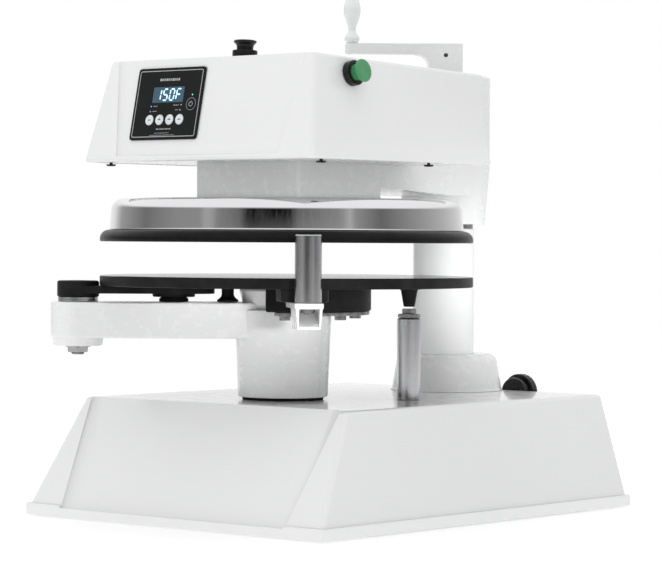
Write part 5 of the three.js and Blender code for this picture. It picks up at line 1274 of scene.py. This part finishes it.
def make_button(name, place, nodes, body, finish, slot):
    collar = turned(name + "_collar_ring", (0, 0), [
        (8.3, -28), (10.4, -28), (11, -27.4), (11, 0.3), (14.6, 0.3), (15, 0.8), (15, 7.8), (14.5, 8.7),
        (13.5, 9),
        (11.0, 9), (10.6, 8.6), (10.6, 0.8), (8.3, 0.8), (8.3, -28),
    ], 64)
    painted(smooth(laid(collar, place)), "black_moulding")
    placed(collar, "head", "black_plastic", nodes[0])
    cap = turned(name + "_cap", (0, 0), [
        (0, -5), (7.4, -5), (8, -4.4), (8, 4.9), (9.9, 5.1), (9.9, 12.6), (10.2, 14.2), (11.0, 15.8),
        (12.4, 17.2),
        (13.3, 18.0), (13.7, 18.8), (13.6, 19.8), (13.0, 20.6), (11.8, 21), (6, 20.9), (0, 20.8),
    ], 64)
    painted(smooth(laid(cap, place)), finish)
    return placed(cap, body, slot, nodes[1])


# ---------------------------------------------------------------- crank
CRANK_TURN = 223.0


def make_crank(shape):
    low, high = span("crank_arm")
    top = span("crank_grip")[0].z - 0.3
    arm_low = top - 14
    hub_low = low.z
    outline = [
        (-22, hub_low), (22, hub_low), (22, arm_low - 12), (25, arm_low - 6), (32, arm_low - 1.6),
        (42, arm_low), (127, arm_low), (127, top), (-22, top),
    ]
    side = drawn_face("crank_lever", outline, -16)
    bpy.ops.mesh.extrude_region_move(TRANSFORM_OT_translate={"value": (0, 0, 32 * MM)})
    close_up(side)
    laid(side, Matrix.Rotation(math.pi / 2, 4, "X"))
    near_side = [(-22, -15), (22, -15), (30, -12.5), (42, -8)]
    far_side = [(42, 8), (30, 12.5), (22, 15), (-22, 15)]
    plan = near_side + arc((122, 0), 9, -90, 90, 12) + far_side
    keep = raised("plan", plan, hub_low - 1, top + 1)
    modified(side, "BOOLEAN", operation="INTERSECT", object=keep, solver="EXACT")
    bpy.data.objects.remove(keep)
    end = turned(
        "end", (122, 0), [(0, arm_low), (8, arm_low), (9, arm_low + 1), (9, top - 1), (8, top), (0, top)], 48
    )
    grown(side, end)
    eased(side, shape.crank_edge / MM, 4, 40)
    spindle_top = high.z
    spindle = turned(
        "spindle", (122, 0),
        [(0, top - 1), (3.5, top - 1), (3.5, spindle_top - 1), (2.8, spindle_top), (0, spindle_top)], 32
    )
    bore = turned("bore", (0, 0), [
        (0, hub_low - 1), (9.3, hub_low - 1), (9.3, top - 6), (0, top - 6),
    ], 48)
    set_hole = turned("hole", (0, 0), [(0, 8), (2.9, 8), (2.9, 15), (3.4, 15.6), (3.4, 18), (0, 18)], 32)
    laid(set_hole, Matrix.Translation(Vector((0, 0, top - 15)) * MM) @ Matrix.Rotation(-math.pi / 2, 4, "X"))
    grown(side, spindle)
    cut(side, bore, set_hole)
    swung(side, CRANK_TURN, COLUMN.x, COLUMN.y)
    return finished(side, "white_casting", 30, "crank", "white_paint", "crank_arm")


def make_crank_grip():
    low, high = span("crank_grip")
    place = (low + high) / 2
    outline = [
        (7.0, 0), (7.6, 0.6), (9.4, 2.2), (10.4, 4.4), (10.6, 6.4), (10.0, 8.6), (8.4, 11.0), (6.4, 13.2),
        (5.5, 15.2), (5.2, 17.4), (5.5, 20.0), (6.6, 23.5), (8.6, 28.5), (10.4, 33.5), (11.6, 38.5),
        (12.0, 43), (11.6, 47.5), (10.6, 52), (9.2, 56.5), (7.8, 60.5), (6.4, 63.8), (4.6, 66.4), (2.4, 67.7), (0, 68),
    ]
    profile = [
        (0, low.z + 62), (3.8, low.z + 61.2), (3.8, low.z)
    ] + [(r * 0.93, low.z + z) for r, z in outline]
    grip = turned("crank_handle", (place.x, place.y), profile, 64)
    return finished(grip, "white_enamel", 50, "grip", "white_paint", "crank_grip")


# ---------------------------------------------------------------- back of the base
def make_regulator():
    low = span("air_regulator")[0]
    knob_low, knob_high = span("regulator_knob")
    x, z = (knob_low.x + knob_high.x) / 2, (knob_low.z + knob_high.z) / 2
    front = knob_low.y - 0.3 - 12
    place = Matrix.Translation(Vector((x, 0, z)) * MM) @ Matrix.Rotation(-math.pi / 2, 4, "X")
    body = turned("air_valve", (0, 0), [
        (0, front), (9.0, front), (10.2, front + 0.4), (17.6, front + 0.6), (19.0, front + 1.6),
        (19.5, front + 3.2),
        (19.5, front + 12), (5, front + 12), (5, front + 20), (0, front + 20),
    ], 96)
    laid(body, place)
    nipple_z = BASE_HIGH.z - 22
    block = raised("block", rounded_outline(x - 12, x + 12, front, front + 12, 1.5, 3), nipple_z - 12, z)
    eased(block, 1.0, 3, 60)
    nipple = turned(
        "nipple", (0, 0), [(0, low.y), (4.4, low.y), (5, low.y + 0.6), (5, front + 2), (0, front + 2)], 32
    )
    laid(nipple, Matrix.Translation(Vector((x, 0, nipple_z)) * MM) @ Matrix.Rotation(-math.pi / 2, 4, "X"))
    grown(body, block, nipple)
    finished(body, "black_moulding", 30, "base", "black_plastic", "air_regulator")

    start = knob_low.y
    knob = turned("pressure_knob", (0, 0), [
        (5.3, start), (23, start), (24, start + 1), (24, start + 10.5), (22.6, start + 12.6),
        (20.6, start + 13.6),
        (18, start + 14), (0, start + 14), (0, start + 9), (5.3, start + 9), (5.3, start),
    ], 96)
    flutes = []
    for i in range(24):
        centre = polar(25.4, i * 15)
        flutes.append(
            turned("flute", (centre.x, centre.y),
                   [(0, start + 2.4), (2.1, start + 2.4), (2.1, start + 16), (0, start + 16)], 12)
        )
    cut(knob, joined("flutes", flutes))
    laid(knob, place)
    return finished(knob, "black_moulding", 30, "knob", "black_plastic", "regulator_knob")


# ---------------------------------------------------------------- stage
def softbox(name, place, target, width, height, power, colour=(1, 1, 1)):
    nothing_selected()
    bpy.ops.object.light_add(type="AREA", location=place)
    lamp = bpy.context.object
    lamp.name = name
    lamp.data.shape = "RECTANGLE"
    lamp.data.size, lamp.data.size_y = width, height
    lamp.data.energy = power
    lamp.data.color = colour
    lamp.visible_glossy = False
    lamp.rotation_mode = "QUATERNION"
    lamp.rotation_quaternion = (Vector(target) - Vector(place)).to_track_quat("-Z", "Y")
    return lamp


def make_camera(settings):
    azimuth, pitch, roll = (settings.azimuth, settings.pitch, settings.roll)
    ahead = Vector((-math.sin(azimuth), math.cos(azimuth), 0))
    right = Vector((math.cos(azimuth), math.sin(azimuth), 0))
    up = Vector((0, 0, 1))
    place = -ahead * settings.distance + right * settings.sideways + up * settings.height
    look = ahead * math.cos(pitch) - up * math.sin(pitch)
    over = up * math.cos(pitch) + ahead * math.sin(pitch)
    x_axis = right * math.cos(roll) + over * math.sin(roll)
    y_axis = over * math.cos(roll) - right * math.sin(roll)
    nothing_selected()
    bpy.ops.object.camera_add()
    camera = bpy.context.object
    camera.name = "camera"
    camera.data.sensor_width = 36
    camera.data.lens = settings.lens
    camera.data.clip_end = 60
    camera.matrix_world = Matrix((
        (x_axis.x, y_axis.x, -look.x, place.x),
        (x_axis.y, y_axis.y, -look.y, place.y),
        (x_axis.z, y_axis.z, -look.z, place.z),
        (0, 0, 0, 1),
    ))
    bpy.context.scene.camera = camera


# What a mirror sees round the press, by degrees to the right of the camera, and how bright it is.
STUDIO_WALLS = (
    (-180, 1.0), (-150, 0.80), (-135, 0.36), (-103, 0.18), (-75, 0.29), (-57, 0.30), (-53, 0.42), (-49, 0.40),
    (-44, 0.25), (-30, 0.16), (-24, 0.006), (0, 0.005), (4, 0.02), (8, 0.14), (35, 0.28), (39, 0.36),
    (42, 0.47),
    (46, 0.30), (64, 0.15), (99, 0.36), (147, 0.69), (180, 1.0),
)


def filled_ramp(tree, stops):
    node = tree.nodes.new("ShaderNodeValToRGB")
    ramp = node.color_ramp
    while len(ramp.elements) < len(stops):
        ramp.elements.new(0.5)
    for element, (place, value) in zip(ramp.elements, stops):
        element.position = place
        element.color = (value, value, value, 1)
    return node


def make_surroundings(settings):
    """White for the eye, even light for paint, and a studio with bright and dark walls for mirrors."""
    world = bpy.data.worlds.new("studio")
    bpy.context.scene.world = world
    world.use_nodes = True
    tree = world.node_tree
    tree.nodes.clear()
    link = tree.links.new

    def node(kind, **settings):
        made = tree.nodes.new(kind)
        for key, value in settings.items():
            setattr(made, key, value)
        return made

    ahead = Vector((-math.sin(settings.azimuth), math.cos(settings.azimuth), 0))
    right = Vector((math.cos(settings.azimuth), math.sin(settings.azimuth), 0))
    direction = node("ShaderNodeTexCoord").outputs["Generated"]
    parts = []
    for axis in (right, -ahead):
        dot = node("ShaderNodeVectorMath", operation="DOT_PRODUCT")
        link(direction, dot.inputs[0])
        dot.inputs[1].default_value = axis
        parts.append(dot.outputs["Value"])
    angle = node("ShaderNodeMath", operation="ARCTAN2")
    link(parts[0], angle.inputs[0])
    link(parts[1], angle.inputs[1])
    share = node("ShaderNodeMapRange")
    share.inputs["From Min"].default_value = -math.pi
    share.inputs["From Max"].default_value = math.pi
    link(angle.outputs["Value"], share.inputs["Value"])
    walls = filled_ramp(tree, [((degrees + 180) / 360, value) for degrees, value in STUDIO_WALLS])
    link(share.outputs["Result"], walls.inputs["Fac"])

    split = node("ShaderNodeSeparateXYZ")
    link(direction, split.inputs["Vector"])
    above = filled_ramp(tree, ((0.0, 0.0), (0.16, 0.0), (0.34, 1.0), (1.0, 1.0)))
    link(split.outputs["Z"], above.inputs["Fac"])
    ceiling = node("ShaderNodeMix", data_type="RGBA")
    link(above.outputs["Color"], ceiling.inputs["Factor"])
    link(walls.outputs["Color"], ceiling.inputs["A"])
    ceiling.inputs["B"].default_value = (1.0, 1.0, 1.0, 1)
    mirrored = node("ShaderNodeBackground")
    mirrored.inputs["Strength"].default_value = settings.studio_strength
    link(ceiling.outputs["Result"], mirrored.inputs["Color"])
    even = node("ShaderNodeBackground")
    even.inputs["Strength"].default_value = settings.dome_strength
    sweep = node("ShaderNodeBackground")
    sweep.inputs["Color"].default_value = (1, 1, 1, 1)
    even.inputs["Color"].default_value = (1, 1, 1, 1)
    ray = node("ShaderNodeLightPath")
    inner = node("ShaderNodeMixShader")
    link(ray.outputs["Is Glossy Ray"], inner.inputs["Fac"])
    link(even.outputs["Background"], inner.inputs[1])
    link(mirrored.outputs["Background"], inner.inputs[2])
    outer = node("ShaderNodeMixShader")
    link(ray.outputs["Is Camera Ray"], outer.inputs["Fac"])
    link(inner.outputs["Shader"], outer.inputs[1])
    link(sweep.outputs["Background"], outer.inputs[2])
    link(outer.outputs["Shader"], node("ShaderNodeOutputWorld").inputs["Surface"])


def make_floor(settings):
    nothing_selected()
    bpy.ops.mesh.primitive_circle_add(vertices=128, radius=6.0, fill_type="NGON", location=(0, 0.1, -0.00205))
    floor = named(bpy.context.object, "stage_floor")
    bpy.ops.object.transform_apply(location=True, rotation=True, scale=True)
    bench = NodeBench("stage_paper", tuple(settings.floor_colour), 0.9)
    bench.vary("Roughness", bench.noise(4.0, 2.0), 0.85, 0.95)
    bench.set("Emission Color", (1, 1, 1, 1))
    bench.set("Emission Strength", settings.floor_glow)
    painted(floor, "stage_paper")


# ---------------------------------------------------------------- settings
class DOUGHPRESS_PG_paint(bpy.types.PropertyGroup):
    paint_colour: bpy.props.FloatVectorProperty(
        name="Paint", description="White enamel of the base, head and castings", subtype="COLOR", size=3,
        default=(0.86, 0.865, 0.865), min=0, max=1)
    coating_colour: bpy.props.FloatVectorProperty(
        name="Coating", description="Black coating of the platens and bracket", subtype="COLOR", size=3,
        default=(0.009, 0.009, 0.0095), min=0, max=1)
    start_colour: bpy.props.FloatVectorProperty(
        name="Start button", description="Green cap on the side", subtype="COLOR", size=3,
        default=(0.06, 0.29, 0.12), min=0, max=1)


class DOUGHPRESS_PG_shape(bpy.types.PropertyGroup):
    base_edge: bpy.props.FloatProperty(
        name="Base edge", description="Rounding of the base's upper edges", default=0.005, min=0.001,
        max=0.01, unit="LENGTH")
    head_edge: bpy.props.FloatProperty(
        name="Head edge", description="Rounding of the hood's upper edges", default=0.004, min=0.001,
        max=0.01, unit="LENGTH")
    collar_edge: bpy.props.FloatProperty(
        name="Collar edge", description="Rounding of the column foot's upper edge", default=0.012, min=0.004,
        max=0.02, unit="LENGTH")
    cover_edge: bpy.props.FloatProperty(
        name="Cover shoulder", description="Shoulder radius of the polished cover", default=0.014, min=0.006,
        max=0.02, unit="LENGTH")
    cast_edge: bpy.props.FloatProperty(
        name="Cast edge", description="Rounding of the arm's edges", default=0.0025, min=0.0005, max=0.005,
        unit="LENGTH")
    stop_edge: bpy.props.FloatProperty(
        name="Stop edge", description="Rounding of the stop block", default=0.0025, min=0.0005, max=0.006,
        unit="LENGTH")
    crank_edge: bpy.props.FloatProperty(
        name="Crank edge", description="Rounding of the crank", default=0.0012, min=0.0003, max=0.003,
        unit="LENGTH")


class DOUGHPRESS_PG_stage(bpy.types.PropertyGroup):
    lens: bpy.props.FloatProperty(
        name="Lens", description="Focal length of the camera in millimetres", default=154.64, min=20, max=400
    )
    azimuth: bpy.props.FloatProperty(
        name="Azimuth", description="Turn of the camera to the right of the front",
        default=math.radians(40.21), subtype="ANGLE")
    pitch: bpy.props.FloatProperty(
        name="Pitch", description="Camera looking down", default=math.radians(1.104), subtype="ANGLE"
    )
    roll: bpy.props.FloatProperty(
        name="Roll", description="Camera leaning", default=math.radians(0.335), subtype="ANGLE"
    )
    distance: bpy.props.FloatProperty(
        name="Distance", description="Camera to the platens", default=3.4887, min=1, max=10, unit="LENGTH"
    )
    sideways: bpy.props.FloatProperty(
        name="Sideways", description="Camera moved to its right", default=0.0547, unit="LENGTH"
    )
    height: bpy.props.FloatProperty(
        name="Height", description="Camera above the base's underside", default=0.339, unit="LENGTH"
    )
    floor_colour: bpy.props.FloatVectorProperty(
        name="Floor", description="Colour of the floor", subtype="COLOR", size=3, default=(0.74, 0.74, 0.74),
        min=0, max=1)
    floor_glow: bpy.props.FloatProperty(
        name="Floor glow", description="How much the floor lights itself", default=0.40, min=0, max=2
    )
    studio_strength: bpy.props.FloatProperty(
        name="Studio", description="Strength of the walls that mirrors see", default=1.0, min=0, max=4
    )
    dome_strength: bpy.props.FloatProperty(
        name="Dome", description="Strength of the even light all round", default=0.79, min=0, max=4
    )
    key_power: bpy.props.FloatProperty(
        name="Key light", description="Power of the overhead softbox in watts", default=9, min=0, max=1000
    )
    side_power: bpy.props.FloatProperty(
        name="Side light", description="Power of the front left softbox in watts", default=5, min=0, max=1000
    )
    fill_power: bpy.props.FloatProperty(
        name="Fill light", description="Power of the narrow strip under the head in watts", default=0.22,
        min=0, max=1000
    )


SETTINGS = (
    ("press_paint", DOUGHPRESS_PG_paint),
    ("press_shape", DOUGHPRESS_PG_shape),
    ("press_stage", DOUGHPRESS_PG_stage),
)


# ---------------------------------------------------------------- operators
class PieceOperator(bpy.types.Operator):
    """Common ground of the piece operators."""

    bl_idname = "doughpress.piece"
    bl_label = "Piece"
    bl_options = {"REGISTER", "UNDO"}

    def execute(self, context):
        self.build(context.scene)
        nothing_selected()
        return {"FINISHED"}


class DOUGHPRESS_OT_finishes(PieceOperator):
    """Make the finishes and give them to the frame's nodes"""

    bl_idname = "doughpress.finishes"
    bl_label = "Finishes"

    def build(self, scene):
        make_finishes(scene.press_paint)
        slots = {s["node"]: s["material_slot"] for s in frame["record"]["subparts"]}
        for node, piece in frame["nodes"].items():
            finish = FINISHES[NODE_FINISHES[slots.get(node, "dark_steel")]]
            for place in piece.material_slots:
                place.material = finish
            if not piece.material_slots:
                piece.data.materials.append(finish)


class DOUGHPRESS_OT_stage(PieceOperator):
    """Set the camera, floor, studio and lights"""

    bl_idname = "doughpress.stage"
    bl_label = "Stage"

    def build(self, scene):
        settings = scene.press_stage
        scene.view_settings.view_transform = "Standard"
        make_camera(settings)
        make_surroundings(settings)
        make_floor(settings)
        softbox("key", (0.0, -0.2, 2.4), (0, 0.1, 0.3), 2.6, 2.2, settings.key_power)
        softbox("side", (-1.6, -2.4, 1.1), (0, 0, 0.35), 1.6, 1.6, settings.side_power)
        fill = softbox("fill", (1.7, -1.0, 0.31), (0, 0.2, 0.30), 0.7, 0.10, settings.fill_power)
        fill.data.spread = math.radians(8)


class DOUGHPRESS_OT_base(PieceOperator):
    """Model the base shell and its feet"""

    bl_idname = "doughpress.base"
    bl_label = "Base"

    def build(self, scene):
        make_base_shell(scene.press_shape)
        for node in frame["nodes"]:
            if node.startswith("foot_"):
                make_foot(node)


class DOUGHPRESS_OT_column(PieceOperator):
    """Model the column and its foot"""

    bl_idname = "doughpress.column"
    bl_label = "Column"

    def build(self, scene):
        make_column(scene.press_shape)


class DOUGHPRESS_OT_support(PieceOperator):
    """Model the boss with its arm, the pivot, bumpers and post"""

    bl_idname = "doughpress.support"
    bl_label = "Support"

    def build(self, scene):
        make_support_arm(scene.press_shape)
        make_gasket()
        make_pivot()
        make_bumpers()
        make_post()


class DOUGHPRESS_OT_lower_platen(PieceOperator):
    """Model the lower platen and what hangs under it"""

    bl_idname = "doughpress.lower_platen"
    bl_label = "Lower platen"

    def build(self, scene):
        make_lower_platen()
        make_platen_bracket()
        make_stop_block(scene.press_shape)
        make_platen_foot()


class DOUGHPRESS_OT_handle(PieceOperator):
    """Model the swing handle and its bracket"""

    bl_idname = "doughpress.handle"
    bl_label = "Handle"

    def build(self, scene):
        make_handle()


class DOUGHPRESS_OT_upper_platen(PieceOperator):
    """Model the upper platen and its polished cover"""

    bl_idname = "doughpress.upper_platen"
    bl_label = "Upper platen"

    def build(self, scene):
        make_upper_platen()
        make_platen_cover(scene.press_shape)


class DOUGHPRESS_OT_head(PieceOperator):
    """Model the head's casting, hood and screws"""

    bl_idname = "doughpress.head"
    bl_label = "Head"

    def build(self, scene):
        make_head_casting(scene.press_shape)
        make_head_cover(scene.press_shape)
        make_pan_screws()


class DOUGHPRESS_OT_controls(PieceOperator):
    """Model the control panel, keys, display and start buttons"""

    bl_idname = "doughpress.controls"
    bl_label = "Controls"

    def build(self, scene):
        make_overlay()
        make_print()
        make_display()
        make_keys()
        make_button(
            "side_start", SIDE_BUTTON, ("side_button_collar", "side_button"), "green_start", "start_cap",
            "green_plastic"
        )
        make_button(
            "top_start", TOP_BUTTON, ("top_button_collar", "top_button"), "black_start", "black_moulding",
            "black_plastic"
        )


class DOUGHPRESS_OT_crank(PieceOperator):
    """Model the height crank and its grip"""

    bl_idname = "doughpress.crank"
    bl_label = "Crank"

    def build(self, scene):
        make_crank(scene.press_shape)
        make_crank_grip()


class DOUGHPRESS_OT_regulator(PieceOperator):
    """Model the air regulator and its knob"""

    bl_idname = "doughpress.regulator"
    bl_label = "Regulator"

    def build(self, scene):
        make_regulator()


OPERATORS = (
    DOUGHPRESS_OT_finishes,
    DOUGHPRESS_OT_stage,
    DOUGHPRESS_OT_base,
    DOUGHPRESS_OT_column,
    DOUGHPRESS_OT_support,
    DOUGHPRESS_OT_lower_platen,
    DOUGHPRESS_OT_handle,
    DOUGHPRESS_OT_upper_platen,
    DOUGHPRESS_OT_head,
    DOUGHPRESS_OT_controls,
    DOUGHPRESS_OT_crank,
    DOUGHPRESS_OT_regulator,
)


class DOUGHPRESS_PT_panel(bpy.types.Panel):
    """Lists the pieces and their settings"""

    bl_idname = "DOUGHPRESS_PT_panel"
    bl_label = "Dough press"
    bl_space_type = "VIEW_3D"
    bl_region_type = "UI"
    bl_category = "Dough press"

    def draw(self, context):
        layout = self.layout
        for operator in OPERATORS:
            layout.operator(operator.bl_idname)
        for name, group in SETTINGS:
            box = layout.box()
            settings = getattr(context.scene, name)
            for key in group.__annotations__:
                box.prop(settings, key)


def register():
    for name, group in SETTINGS:
        bpy.utils.register_class(group)
        setattr(bpy.types.Scene, name, bpy.props.PointerProperty(type=group))
    for operator in OPERATORS:
        bpy.utils.register_class(operator)
    bpy.utils.register_class(DOUGHPRESS_PT_panel)


def unregister():
    bpy.utils.unregister_class(DOUGHPRESS_PT_panel)
    for operator in reversed(OPERATORS):
        bpy.utils.unregister_class(operator)
    for name, group in reversed(SETTINGS):
        delattr(bpy.types.Scene, name)
        bpy.utils.unregister_class(group)


def main():
    register()
    for operator in OPERATORS:
        family, action = operator.bl_idname.split(".")
        getattr(getattr(bpy.ops, family), action)()


if __name__ == "__main__":
    main()
